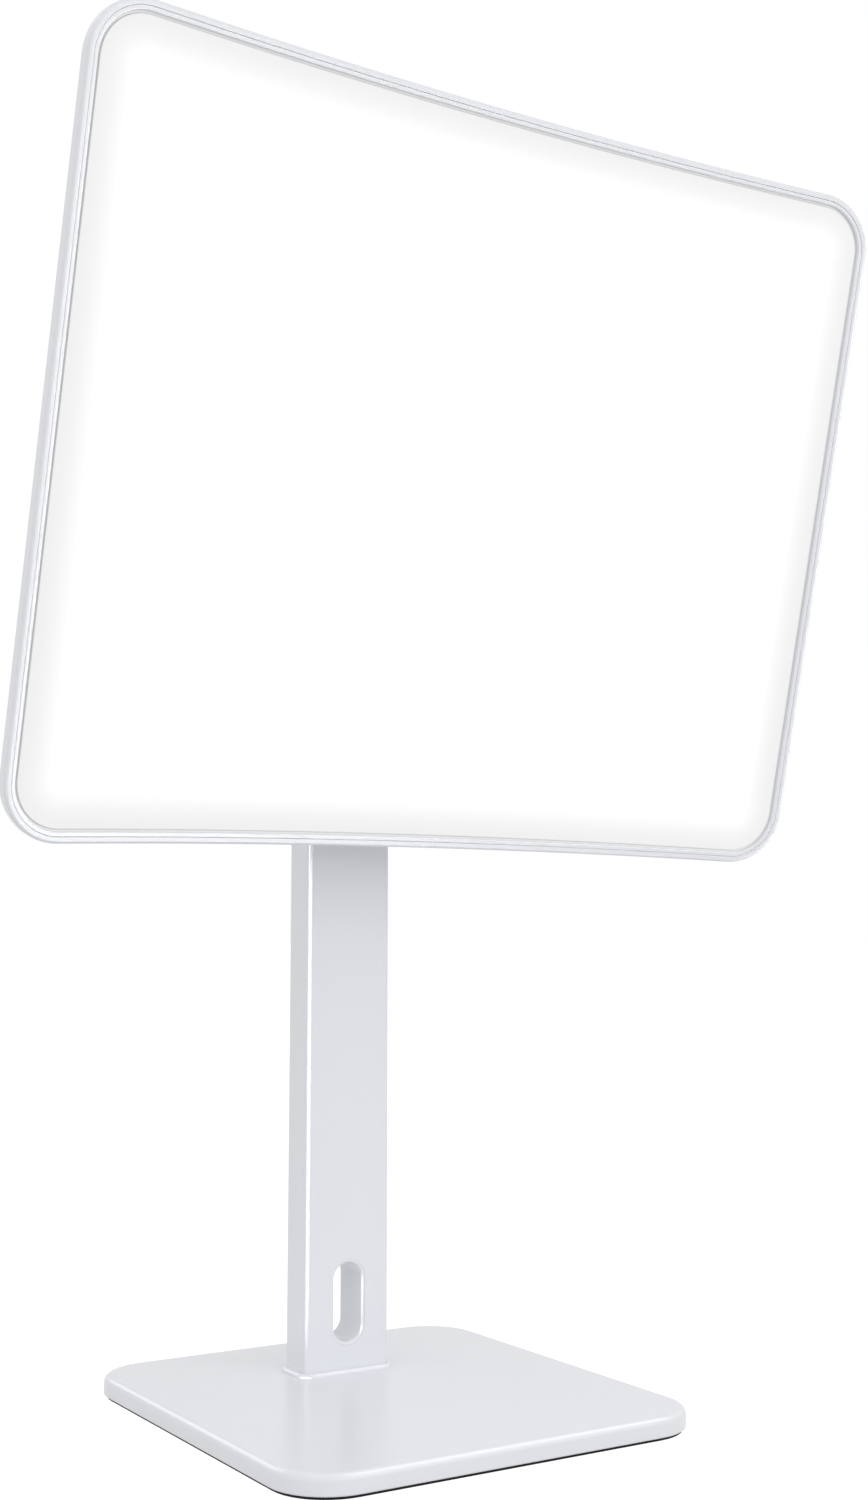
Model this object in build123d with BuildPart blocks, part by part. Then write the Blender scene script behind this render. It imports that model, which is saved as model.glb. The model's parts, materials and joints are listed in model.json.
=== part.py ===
from build123d import *
from math import asin, cos, degrees, radians, sin
import os

# Light therapy lamp: a weighted flat base, a rectangular post with a cable slot, a short swing arm
# with a friction hinge at each end, and a thin light panel that is concave about its upright axis.
# Millimetres, +Z up, the panel faces -Y, and the origin is the middle of the base's underside.

os.makedirs("parts", exist_ok=True)

# ---------------------------------------------------------------- driving sizes: base
base_width = 198.0
base_depth = 212.0
base_corner_radius = 26.0
base_edge_radius = 3.0
base_cover_height = 8.4
base_cover_wall = 2.2
base_cover_top = 1.9
pad_thickness = 1.3
pad_inset = 1.6
weight_clearance = 0.3
base_screw_inset = 30.0
base_boss_radius = 3.6
base_boss_height = 2.5
base_screw_head_radius = 3.0
base_screw_head_height = 1.5
base_screw_pocket = 1.6

# ---------------------------------------------------------------- driving sizes: post and collar
post_width = 44.0
post_depth = 20.6
post_edge_radius = 2.5
post_wall = 2.0
post_length = 362.3
post_setback = 44.3
collar_margin = 3.0
collar_height = 1.9
collar_edge_radius = 1.2
collar_corner_radius = 8.0
foot_block_height = 11.0
post_screw_spacing = 24.0
post_screw_radius = 2.5
post_screw_head_radius = 4.5
post_screw_head_height = 2.8
post_screw_pocket = 3.0
post_screw_grip = 10.0

# ---------------------------------------------------------------- driving sizes: cable slot
slot_width = 14.6
slot_height = 35.5
slot_rise = 13.75
liner_wall = 1.6
liner_mouth_radius = 1.4

# ---------------------------------------------------------------- driving sizes: friction hinges
bolt_radius = 2.5
bolt_head_radius = 4.6
bolt_head_height = 3.2
bolt_socket_width = 4.0
bolt_socket_depth = 1.8
clevis_half_gap = 12.2
ear_thickness = 8.5
ear_radius = 9.2
ear_edge_radius = 1.0
pocket_radius = 6.6
pocket_depth = 5.5
washer_thickness = 1.0
washer_radius = 7.3
spring_thickness = 0.45
spring_radius = 6.0
nut_height = 2.7
nut_flats = 8.0
cap_proud = 0.8
cap_thickness = 2.2
cap_edge_radius = 0.6

# ---------------------------------------------------------------- driving sizes: yoke and arm
yoke_plug_depth = 26.0
yoke_flange_height = 2.5
yoke_pivot_rise = 11.2
yoke_screw_drop = 13.0
yoke_screw_spacing = 24.0
yoke_screw_length = 9.0
arm_length = 86.8
arm_rest_angle = 20.0
arm_cover_width = 22.0
arm_cover_radius = 9.2
arm_cover_wall = 1.4
arm_edge_radius = 1.2
arm_bar_height = 9.0
arm_bar_thickness = 8.0
eye_radius = 7.5
arm_screw_share = 0.3
arm_boss_radius = 2.8

# ---------------------------------------------------------------- driving sizes: light panel
head_rest_tilt = 14.5
head_pivot_depth = 30.5
head_width = 400.0
head_height = 327.0
head_corner_radius = 26.0
head_curve_radius = 1170.0
head_thickness = 7.5
frame_wall = 2.2
frame_face_width = 2.9
frame_face_thickness = 1.4
frame_front_radius = 1.8
frame_back_radius = 1.6
bead_gap = 0.3
bead_width = 1.6
bead_recess = 0.5
bead_flange_thickness = 0.95
bead_edge_radius = 0.45
groove_width = 1.0
diffuser_recess = 1.3
diffuser_thickness = 1.4
diffuser_edge_radius = 0.5
rear_cover_thickness = 1.5
rib_thickness = 1.6
lug_length = 10.0
lug_reach = 7.5
lug_root = 1.0
lug_thickness = 1.8
lug_side_offset = 120.0
lug_rise = 90.0

# ---------------------------------------------------------------- driving sizes: light engine
led_board_count = 8
led_board_side_margin = 39.0
led_board_end_margin = 16.0
led_board_width = 12.0
led_board_thickness = 1.0
led_count = 9
led_end_margin = 18.0
led_width = 3.5
led_height = 2.8
led_thickness = 0.8
reflector_side_inset = 14.0
reflector_end_inset = 16.0
reflector_corner_radius = 10.0
reflector_thickness = 0.4
reflector_slot_side_margin = 1.25
reflector_slot_end_margin = 6.6
bus_width = 4.6
bus_gap = 1.0
bus_side_inset = 32.0
bus_thickness = 0.3
tail_offset = 46.0
tail_width = 8.0
tail_end = -7.0
connector_width = 12.0
connector_height = 6.0

# ---------------------------------------------------------------- driving sizes: rear hub
hub_width = 136.0
hub_height = 80.0
hub_corner_radius = 14.0
hub_depth = 12.0
hub_wall = 2.0
hub_edge_radius = 4.0
hub_boss_radius = 3.2
hub_boss_offset = 59.0
hub_boss_rise = 31.0
bracket_width = 43.0
bracket_height = 64.0
bracket_thickness = 3.0
bracket_corner_radius = 4.0
bracket_screw_offset = 8.0
bracket_screw_rise = 26.0
backing_side_margin = 2.0
backing_thickness = 1.0
board_offset = 40.0
board_width = 31.0
board_height = 68.0
board_thickness = 1.2
board_standoff = 1.6
board_screw_inset = 3.5
standoff_radius = 2.5

# ---------------------------------------------------------------- driving sizes: board components
component_offset = 10.0
inductor_radius = 4.0
inductor_height = 4.5
inductor_rise = -14.0
capacitor_radius = 2.5
capacitor_height = 5.4
capacitor_rise = -16.0
capacitor_pitch = 7.0
driver_size = 5.0
processor_width = 6.0
processor_length = 8.0
chip_height = 1.2
chip_rise = 8.0

# ---------------------------------------------------------------- driving sizes: controls and inlet
button_radius = 5.5
button_gap = 0.3
button_proud = 1.2
button_flange_width = 1.1
button_flange_thickness = 1.0
button_stem_radius = 1.5
button_edge_radius = 0.8
power_button_rise = 18.0
brightness_button_rise = -2.0
switch_width = 6.0
switch_height = 3.5
switch_bore_radius = 1.9
switch_bore_depth = 1.5
stem_entry = 0.4
jack_width = 9.0
jack_height = 6.8
jack_length = 11.8
jack_nose_radius = 3.2
jack_bore_radius = 2.75
jack_bore_depth = 9.0
jack_pin_radius = 1.0
jack_pin_length = 8.0

# ---------------------------------------------------------------- small screws and clearances
small_screw_radius = 1.25
small_screw_head = 2.5
medium_screw_radius = 1.7
medium_screw_head = 3.3
recess_length = 2.6
recess_width = 0.6
recess_depth = 0.7
fit = 0.1
pivot_fit = 0.05
seam = 0.15
loose = 0.2
adhesive = 0.1
trim_margin = 8.0

# ---------------------------------------------------------------- levels and places worked out
base_top = pad_thickness + base_cover_height
weight_top = base_top - base_cover_top
post_top = base_top + post_length
post_front = post_setback - post_depth / 2
post_back = post_setback + post_depth / 2
plug_width = post_width - 2 * (post_wall + fit)
plug_depth = post_depth - 2 * (post_wall + fit)
plug_corner_radius = max(post_edge_radius - post_wall, 0) + fit
slot_middle = base_top + slot_rise + slot_height / 2
liner_width = slot_width + 2 * liner_wall
liner_height = slot_height + 2 * liner_wall
cap_level = clevis_half_gap + ear_thickness + cap_proud
pocket_floor = clevis_half_gap + ear_thickness - pocket_depth
eye_half_width = clevis_half_gap - washer_thickness - 2 * pivot_fit

straight_back = 270.0
tilt = radians(head_rest_tilt)
arm_angle = radians(arm_rest_angle)
across = Vector(1, 0, 0)
down = Vector(0, 0, -1)
panel_up = Vector(0, -sin(tilt), cos(tilt))
panel_front = Vector(0, -cos(tilt), -sin(tilt))
arm_direction = Vector(0, -cos(arm_angle), sin(arm_angle))
arm_pivot = Vector(0, post_setback, post_top + yoke_flange_height + yoke_pivot_rise)
head_pivot = arm_pivot + arm_direction * arm_length
panel_centre = head_pivot + panel_front * head_pivot_depth
panel_face = Plane(origin=panel_centre, x_dir=across, z_dir=panel_front)
panel_plan = Plane(origin=panel_centre, x_dir=across, z_dir=-panel_up)
arm_plane = Plane(origin=arm_pivot, x_dir=arm_direction, z_dir=-across)

# Depths are counted backwards from the panel's front surface, along its local normal.
bead_back = frame_face_thickness + pivot_fit + bead_flange_thickness
diffuser_seat = bead_back + pivot_fit
diffuser_back = diffuser_seat + diffuser_thickness
cover_inside = head_thickness - rear_cover_thickness
lug_back = cover_inside - fit
bracket_back = head_thickness + bracket_thickness
hub_back = head_thickness + hub_depth
hub_inside = hub_back - hub_wall
board_front = head_thickness + board_standoff
board_back = board_front + board_thickness
switch_top = board_back + switch_height
led_board_pitch = (head_width - 2 * led_board_side_margin) / (led_board_count - 1)
led_board_height = head_height - 2 * led_board_end_margin
backing_width = led_board_pitch - led_board_width - 2 * backing_side_margin
led_pitch = (led_board_height - 2 * led_end_margin) / (led_count - 1)
bus_length = head_width - 2 * bus_side_inset
board_seat = cover_inside - adhesive
led_seat = board_seat - led_board_thickness
reflector_back = led_seat - fit

post_mouth = Plane(origin=(0, post_front, slot_middle), x_dir=across, z_dir=(0, -1, 0))
hinges = {
    "post": (arm_pivot, down, yoke_pivot_rise + yoke_flange_height / 2),
    "head": (head_pivot, panel_front, head_pivot_depth - bracket_back + bracket_thickness / 2),
}


# ---------------------------------------------------------------- shared construction
def save(node, name):
    """Label one finished node and write its STEP file."""
    node.label = name
    export_step(node, f"parts/{name}.step")


def curved_slab(near, far, inset_width, inset_height, corner):
    """Solid between two depths behind the panel's front, cut to a rounded rectangle seen from the front."""
    half_span = degrees(asin((inset_width / 2 + trim_margin) / head_curve_radius))
    with BuildPart() as slab:
        with BuildSketch(panel_plan):
            with BuildLine():
                middle = (0, head_curve_radius)
                start = straight_back - half_span
                inner = CenterArc(middle, head_curve_radius + near, start, 2 * half_span)
                outer = CenterArc(middle, head_curve_radius + far, start, 2 * half_span)
                Line(inner @ 0, outer @ 0)
                Line(inner @ 1, outer @ 1)
            make_face()
        extrude(amount=inset_height / 2 + trim_margin, both=True)
        with BuildSketch(panel_face):
            RectangleRounded(inset_width, inset_height, corner)
        extrude(amount=head_pivot_depth, both=True, mode=Mode.INTERSECT)
    return slab.part


def inset_slab(near, far, inset):
    """Curved slab whose outline lies a constant inset inside the panel's outline."""
    return curved_slab(near, far, head_width - 2 * inset, head_height - 2 * inset, head_corner_radius - inset)


def front_at(offset, rise, depth):
    """Plane on the panel at a sideways offset, a rise and a depth, facing the panel's front."""
    turn = asin(offset / head_curve_radius)
    radius = head_curve_radius + depth
    forward = head_curve_radius - radius * cos(turn)
    origin = panel_centre + across * (radius * sin(turn)) + panel_up * rise + panel_front * forward
    return Plane(
        origin=origin,
        x_dir=across * cos(turn) + panel_front * sin(turn),
        z_dir=panel_front * cos(turn) - across * sin(turn),
    )


def back_at(offset, rise, depth):
    """The same place as front_at, facing the panel's back."""
    facing = front_at(offset, rise, depth)
    return Plane(origin=facing.origin, x_dir=-facing.x_dir, z_dir=-facing.z_dir)


def corners_of(offset, rise):
    """The four sideways and upward places of a rectangle of fasteners."""
    return [(x_sign * offset, y_sign * rise) for x_sign in (-1, 1) for y_sign in (-1, 1)]


def countersunk_screw(head_radius, shank_radius, length):
    """Countersunk cross-head screw with its head's flat at Z = 0 and its shank along -Z."""
    with BuildPart() as screw:
        cone = head_radius - shank_radius
        Cone(shank_radius, head_radius, cone, align=(Align.CENTER, Align.CENTER, Align.MAX))
        with Locations((0, 0, -cone)):
            Cylinder(shank_radius, length - cone, align=(Align.CENTER, Align.CENTER, Align.MAX))
        with BuildSketch(Plane.XY):
            Rectangle(recess_length, recess_width)
            Rectangle(recess_width, recess_length)
        extrude(amount=-recess_depth, mode=Mode.SUBTRACT)
    return screw.part


def pan_screw(head_radius, head_height, shank_radius, length):
    """Pan-head cross screw with its head's seat at Z = 0, its head above and its shank along -Z."""
    with BuildPart() as screw:
        Cylinder(head_radius, head_height, align=(Align.CENTER, Align.CENTER, Align.MIN))
        fillet(screw.edges().sort_by(Axis.Z)[-1], head_height / 3)
        Cylinder(shank_radius, length, align=(Align.CENTER, Align.CENTER, Align.MAX))
        with BuildSketch(Plane.XY.offset(head_height)):
            Rectangle(recess_length, recess_width)
            Rectangle(recess_width, recess_length)
        extrude(amount=-recess_depth, mode=Mode.SUBTRACT)
    return screw.part


def clevis_ears(centre, toward, reach):
    """Two ears beside a hinge axis along X, reaching toward the piece that carries them."""
    with BuildPart() as ears:
        for side in (-1, 1):
            inner_face = Plane(
                origin=centre + across * (side * clevis_half_gap), x_dir=toward, z_dir=across * side
            )
            with BuildSketch(inner_face):
                Circle(ear_radius)
                Rectangle(reach, 2 * ear_radius, align=(Align.MIN, Align.CENTER))
            extrude(amount=ear_thickness)
            outer_face = ears.faces().sort_by(Axis(centre, across * side))[-1]
            fillet(outer_face.edges().sort_by(Axis(centre, toward))[:-1], ear_edge_radius)
            with Locations(inner_face.offset(ear_thickness)):
                CounterBoreHole(bolt_radius + pivot_fit, pocket_radius, pocket_depth)
    return ears.part


def ring(centre, start, thickness, outer_radius, inner_radius):
    """Flat ring about a hinge axis along X, from a sideways start over a thickness."""
    with BuildPart() as disc:
        with BuildSketch(Plane(origin=centre + across * start, x_dir=panel_up, z_dir=across)):
            Circle(outer_radius)
            Circle(inner_radius, mode=Mode.SUBTRACT)
        extrude(amount=thickness)
    return disc.part


# ================================================================ base
with BuildPart() as base_pad:
    with BuildSketch(Plane.XY):
        RectangleRounded(
            base_width - 2 * pad_inset, base_depth - 2 * pad_inset, base_corner_radius - pad_inset
        )
    extrude(amount=pad_thickness)
save(base_pad.part, "base_pad")

base_screw_spots = corners_of(base_width / 2 - base_screw_inset, base_depth / 2 - base_screw_inset)
post_screw_spots = [(side * post_screw_spacing / 2, post_setback) for side in (-1, 1)]
cavity_inset = base_cover_wall
with BuildPart() as base_cover:
    with BuildSketch(Plane.XY.offset(pad_thickness)):
        RectangleRounded(base_width, base_depth, base_corner_radius)
    extrude(amount=base_cover_height)
    fillet(base_cover.faces().sort_by(Axis.Z)[-1].edges(), base_edge_radius)
    with BuildSketch(Plane.XY.offset(pad_thickness)):
        RectangleRounded(
            base_width - 2 * cavity_inset,
            base_depth - 2 * cavity_inset,
            base_corner_radius - cavity_inset,
        )
    extrude(amount=base_cover_height - base_cover_top, mode=Mode.SUBTRACT)
    with BuildSketch(Plane.XY.offset(weight_top - base_boss_height)):
        with Locations(*base_screw_spots):
            Circle(base_boss_radius)
            Circle(small_screw_radius + fit, mode=Mode.SUBTRACT)
    extrude(amount=base_boss_height)
    with BuildSketch(Plane.XY.offset(weight_top)):
        with Locations(*post_screw_spots):
            Circle(post_screw_radius + loose)
    extrude(amount=base_cover_top, mode=Mode.SUBTRACT)
save(base_cover.part, "base_cover")

weight_inset = cavity_inset + weight_clearance
with BuildPart() as base_weight:
    with BuildSketch(Plane.XY.offset(pad_thickness)):
        RectangleRounded(
            base_width - 2 * weight_inset,
            base_depth - 2 * weight_inset,
            base_corner_radius - weight_inset,
        )
    extrude(amount=weight_top - pad_thickness)
    with BuildSketch(Plane.XY.offset(weight_top)):
        with Locations(*base_screw_spots):
            Circle(base_boss_radius + loose)
    extrude(amount=-(base_boss_height + fit), mode=Mode.SUBTRACT)
    with BuildSketch(Plane.XY.offset(pad_thickness)):
        with Locations(*base_screw_spots):
            Circle(base_screw_head_radius + loose)
    extrude(amount=base_screw_pocket, mode=Mode.SUBTRACT)
    with BuildSketch(Plane.XY.offset(pad_thickness)):
        with Locations(*base_screw_spots):
            Circle(small_screw_radius + loose)
        with Locations(*post_screw_spots):
            Circle(post_screw_radius + loose)
    extrude(amount=weight_top - pad_thickness, mode=Mode.SUBTRACT)
    with BuildSketch(Plane.XY.offset(pad_thickness)):
        with Locations(*post_screw_spots):
            Circle(post_screw_head_radius + loose)
    extrude(amount=post_screw_pocket, mode=Mode.SUBTRACT)
save(base_weight.part, "base_weight")

base_screw_seat = pad_thickness + base_screw_pocket
base_screw = pan_screw(
    base_screw_head_radius, base_screw_head_height, small_screw_radius, weight_top - base_screw_seat
)
with BuildPart() as base_screws:
    for x_place, y_place in base_screw_spots:
        with Locations(Plane(origin=(x_place, y_place, base_screw_seat), z_dir=down)):
            add(base_screw)
save(base_screws.part, "base_screws")

# ================================================================ post
with BuildPart() as foot_collar:
    with BuildSketch(Plane.XY.offset(base_top)):
        with Locations((0, post_setback)):
            RectangleRounded(
                post_width + 2 * collar_margin,
                post_depth + 2 * collar_margin,
                collar_corner_radius,
            )
    extrude(amount=collar_height)
    fillet(foot_collar.faces().sort_by(Axis.Z)[-1].edges(), collar_edge_radius)
    with BuildSketch(Plane.XY.offset(base_top)):
        with Locations((0, post_setback)):
            RectangleRounded(post_width + 2 * fit, post_depth + 2 * fit, post_edge_radius + fit)
    extrude(amount=collar_height, mode=Mode.SUBTRACT)
save(foot_collar.part, "foot_collar")

yoke_screw_level = post_top - yoke_screw_drop
yoke_screw_planes = [
    Plane(origin=(side * yoke_screw_spacing / 2, post_back, yoke_screw_level), z_dir=(0, 1, 0))
    for side in (-1, 1)
]
with BuildPart() as post:
    with BuildSketch(Plane.XY.offset(base_top)):
        with Locations((0, post_setback)):
            RectangleRounded(post_width, post_depth, post_edge_radius)
            RectangleRounded(
                post_width - 2 * post_wall,
                post_depth - 2 * post_wall,
                post_edge_radius - post_wall,
                mode=Mode.SUBTRACT,
            )
    extrude(amount=post_length)
    with BuildSketch(post_mouth):
        SlotOverall(liner_height + 2 * pivot_fit, liner_width + 2 * pivot_fit, rotation=90)
    extrude(amount=-post_depth, mode=Mode.SUBTRACT)
    with Locations(*yoke_screw_planes):
        CounterSinkHole(medium_screw_radius + fit, medium_screw_head + fit, post_wall, 90)
save(post.part, "post")

with BuildPart() as cable_slot_liner:
    with BuildSketch(post_mouth):
        SlotOverall(liner_height, liner_width, rotation=90)
        SlotOverall(slot_height, slot_width, rotation=90, mode=Mode.SUBTRACT)
    extrude(amount=-post_depth)
    front_rim = cable_slot_liner.faces().sort_by(Axis.Y)[0].inner_wires()[0].edges()
    back_rim = cable_slot_liner.faces().sort_by(Axis.Y)[-1].inner_wires()[0].edges()
    fillet(front_rim + back_rim, liner_mouth_radius)
save(cable_slot_liner.part, "cable_slot_liner")

with BuildPart() as post_foot_block:
    with BuildSketch(Plane.XY.offset(base_top)):
        with Locations((0, post_setback)):
            RectangleRounded(plug_width, plug_depth, plug_corner_radius)
        with Locations(*post_screw_spots):
            Circle(post_screw_radius + fit, mode=Mode.SUBTRACT)
    extrude(amount=foot_block_height)
save(post_foot_block.part, "post_foot_block")

post_screw_seat = pad_thickness + post_screw_pocket
post_screw = pan_screw(
    post_screw_head_radius,
    post_screw_head_height,
    post_screw_radius,
    base_top + post_screw_grip - post_screw_seat,
)
with BuildPart() as post_screws:
    for x_place, y_place in post_screw_spots:
        with Locations(Plane(origin=(x_place, y_place, post_screw_seat), z_dir=down)):
            add(post_screw)
save(post_screws.part, "post_screws")

# ================================================================ hinge yoke on the post
yoke_ears = clevis_ears(*hinges["post"])
with BuildPart() as post_yoke:
    with BuildSketch(Plane.XY.offset(post_top)):
        with Locations((0, post_setback)):
            RectangleRounded(post_width, post_depth, post_edge_radius)
    extrude(amount=yoke_flange_height)
    with BuildSketch(Plane.XY.offset(post_top)):
        with Locations((0, post_setback)):
            RectangleRounded(plug_width, plug_depth, plug_corner_radius)
    extrude(amount=-yoke_plug_depth)
    add(yoke_ears)
    for screw_plane in yoke_screw_planes:
        with BuildSketch(screw_plane):
            Circle(medium_screw_radius + fit)
        extrude(amount=-(yoke_screw_length + loose), mode=Mode.SUBTRACT)
save(post_yoke.part, "post_yoke")

yoke_screw = countersunk_screw(medium_screw_head, medium_screw_radius, yoke_screw_length)
with BuildPart() as yoke_screws:
    with Locations(*yoke_screw_planes):
        add(yoke_screw)
save(yoke_screws.part, "yoke_screws")

# ================================================================ hinge hardware, the same at both ends
for hinge_name, (hinge_centre, _, _) in hinges.items():
    with BuildPart() as hinge_bolt:
        with BuildSketch(
            Plane(origin=hinge_centre - across * pocket_floor, x_dir=panel_up, z_dir=across)
        ):
            Circle(bolt_radius)
        extrude(amount=2 * pocket_floor + 2 * spring_thickness + nut_height + 3 * pivot_fit)
        with BuildSketch(
            Plane(origin=hinge_centre - across * pocket_floor, x_dir=panel_up, z_dir=-across)
        ):
            Circle(bolt_head_radius)
        extrude(amount=bolt_head_height)
        with BuildSketch(
            Plane(
                origin=hinge_centre - across * (pocket_floor + bolt_head_height),
                x_dir=panel_up,
                z_dir=-across,
            )
        ):
            RegularPolygon(bolt_socket_width / 2, 6, major_radius=False)
        extrude(amount=-bolt_socket_depth, mode=Mode.SUBTRACT)
    save(hinge_bolt.part, f"{hinge_name}_hinge_bolt")

    washer_start = clevis_half_gap - pivot_fit - washer_thickness
    washer_pair = [
        ring(hinge_centre, start, washer_thickness, washer_radius, bolt_radius + fit)
        for start in (washer_start, -washer_start - washer_thickness)
    ]
    with BuildPart() as hinge_washers:
        add(washer_pair)
    save(hinge_washers.part, f"{hinge_name}_hinge_washers")

    spring_pitch = spring_thickness + pivot_fit
    spring_pair = [
        ring(hinge_centre, start, spring_thickness, spring_radius, bolt_radius + fit)
        for start in (pocket_floor, pocket_floor + spring_pitch)
    ]
    with BuildPart() as hinge_springs:
        add(spring_pair)
    save(hinge_springs.part, f"{hinge_name}_hinge_springs")

    with BuildPart() as hinge_nut:
        with BuildSketch(
            Plane(
                origin=hinge_centre + across * (pocket_floor + 2 * spring_pitch),
                x_dir=panel_up,
                z_dir=across,
            )
        ):
            RegularPolygon(nut_flats / 2, 6, major_radius=False)
            Circle(bolt_radius + pivot_fit, mode=Mode.SUBTRACT)
        extrude(amount=nut_height)
    save(hinge_nut.part, f"{hinge_name}_hinge_nut")

    with BuildPart() as hinge_caps:
        for side in (-1, 1):
            cap_face = Plane(
                origin=hinge_centre + across * (side * cap_level), x_dir=panel_up, z_dir=across * side
            )
            with BuildSketch(cap_face):
                Circle(pocket_radius - fit)
            extrude(amount=-cap_thickness)
        outer_rims = hinge_caps.edges().group_by(Axis.X)
        fillet(outer_rims[0] + outer_rims[-1], cap_edge_radius)
    save(hinge_caps.part, f"{hinge_name}_hinge_caps")

# ================================================================ swing arm
arm_screw_places = [arm_length * arm_screw_share, arm_length * (1 - arm_screw_share)]
with BuildPart() as arm_core:
    with BuildSketch(arm_plane):
        with Locations((0, 0), (arm_length, 0)):
            Circle(eye_radius)
    extrude(amount=eye_half_width, both=True)
    with BuildSketch(arm_plane):
        with Locations((arm_length / 2, 0)):
            Rectangle(arm_length, arm_bar_height)
    extrude(amount=arm_bar_thickness / 2, both=True)
    with BuildSketch(arm_plane):
        with Locations((0, 0), (arm_length, 0)):
            Circle(bolt_radius + pivot_fit)
        with Locations(*[(place, 0) for place in arm_screw_places]):
            Circle(small_screw_radius + loose)
    extrude(amount=eye_half_width, both=True, mode=Mode.SUBTRACT)
save(arm_core.part, "arm_core")

half_cover = arm_cover_width / 2
boss_length = half_cover - arm_bar_thickness / 2 - fit
left_screw_planes = [
    Plane(
        origin=arm_pivot + arm_direction * place - across * half_cover,
        x_dir=arm_direction,
        z_dir=-across,
    )
    for place in arm_screw_places
]
for side, side_name in ((-1, "left"), (1, "right")):
    outer_plane = Plane(
        origin=arm_pivot + across * (side * half_cover), x_dir=arm_direction, z_dir=across * side
    )
    with BuildPart() as arm_cover:
        with BuildSketch(outer_plane):
            with Locations((arm_length / 2, 0)):
                SlotCenterToCenter(arm_length, 2 * arm_cover_radius)
        extrude(amount=-(half_cover - pivot_fit))
        outer_face = arm_cover.faces().sort_by(Axis.X)[-1 if side > 0 else 0]
        fillet(outer_face.edges(), arm_edge_radius)
        with BuildSketch(outer_plane.offset(-arm_cover_wall)):
            with Locations((arm_length / 2, 0)):
                SlotCenterToCenter(arm_length, 2 * (arm_cover_radius - arm_cover_wall))
        extrude(amount=-half_cover, mode=Mode.SUBTRACT)
        with BuildSketch(outer_plane):
            with Locations((0, 0), (arm_length, 0)):
                Circle(eye_radius + loose)
        extrude(amount=-arm_cover_wall, mode=Mode.SUBTRACT)
        with BuildSketch(outer_plane.offset(-arm_cover_wall)):
            with Locations(*[(place, 0) for place in arm_screw_places]):
                Circle(arm_boss_radius)
        extrude(amount=-(boss_length - arm_cover_wall))
        if side < 0:
            with Locations(*left_screw_planes):
                CounterSinkHole(small_screw_radius + fit, small_screw_head + fit, boss_length, 90)
        else:
            with BuildSketch(outer_plane.offset(-arm_cover_wall)):
                with Locations(*[(place, 0) for place in arm_screw_places]):
                    Circle(small_screw_radius + fit)
            extrude(amount=-boss_length, mode=Mode.SUBTRACT)
    save(arm_cover.part, f"arm_cover_{side_name}")

arm_screw = countersunk_screw(small_screw_head, small_screw_radius, arm_cover_width - 2 * arm_cover_wall)
with BuildPart() as arm_screws:
    with Locations(*left_screw_planes):
        add(arm_screw)
save(arm_screws.part, "arm_screws")

# ================================================================ light panel: frame, bead and diffuser
# Each lug starts inside the frame's wall by its root, and stands in from the wall by its reach.
lug_size = lug_reach + lug_root
lug_inset = frame_wall + lug_reach - lug_size / 2
side_lug_offset = (head_width / 2 - lug_inset) * head_curve_radius / (head_curve_radius + lug_back)
lug_spots = [
    (x_place, y_place, lug_length, lug_size)
    for x_place, y_place in corners_of(lug_side_offset, head_height / 2 - lug_inset)
]
lug_spots += [
    (x_place, y_place, lug_size, lug_length)
    for x_place, y_place in corners_of(side_lug_offset, lug_rise)
]

frame_block = inset_slab(0, head_thickness, 0)
frame_pocket = inset_slab(frame_face_thickness, hub_back, frame_wall)
frame_window = inset_slab(-head_thickness, head_thickness, frame_face_width)
with BuildPart() as front_frame:
    add(frame_block)
    broad_faces = front_frame.faces().sort_by(SortBy.AREA)[-2:].sort_by(Axis(panel_centre, panel_front))
    fillet(broad_faces[-1].edges(), frame_front_radius)
    broad_faces = front_frame.faces().sort_by(SortBy.AREA)[-2:].sort_by(Axis(panel_centre, panel_front))
    fillet(broad_faces[0].edges(), frame_back_radius)
    add(frame_pocket, mode=Mode.SUBTRACT)
    add(frame_window, mode=Mode.SUBTRACT)
    for x_place, y_place, x_size, y_size in lug_spots:
        with BuildSketch(front_at(x_place, y_place, lug_back)):
            Rectangle(x_size, y_size)
            Circle(small_screw_radius + fit, mode=Mode.SUBTRACT)
        extrude(amount=lug_thickness)
save(front_frame.part, "front_frame")

bead_outside = frame_face_width + bead_gap
bead_inside = bead_outside + bead_width
flange_outside = frame_wall + loose
bead_block = inset_slab(bead_recess, bead_back, bead_outside)
bead_flange = inset_slab(frame_face_thickness + pivot_fit, bead_back, flange_outside)
bead_window = inset_slab(-head_thickness, head_thickness, bead_inside)
with BuildPart() as diffuser_bead:
    add(bead_block)
    add(bead_window, mode=Mode.SUBTRACT)
    crest = diffuser_bead.faces().filter_by(GeomType.CYLINDER).filter_by(
        lambda face: abs(face.radius - (head_curve_radius + bead_recess)) < pivot_fit
    )
    fillet(crest.edges(), bead_edge_radius)
    add(bead_flange)
    add(bead_window, mode=Mode.SUBTRACT)
save(diffuser_bead.part, "diffuser_bead")

raised_inset = bead_inside + groove_width
diffuser_face = inset_slab(diffuser_recess, diffuser_back, raised_inset)
diffuser_flange = inset_slab(diffuser_seat, diffuser_back, flange_outside)
diffuser_hollow = inset_slab(
    diffuser_recess + diffuser_thickness, head_thickness, raised_inset + diffuser_thickness
)
with BuildPart() as diffuser:
    add(diffuser_face)
    broad_faces = diffuser.faces().sort_by(SortBy.AREA)[-2:].sort_by(Axis(panel_centre, panel_front))
    fillet(broad_faces[-1].edges(), diffuser_edge_radius)
    add(diffuser_flange)
    add(diffuser_hollow, mode=Mode.SUBTRACT)
save(diffuser.part, "diffuser")

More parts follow.
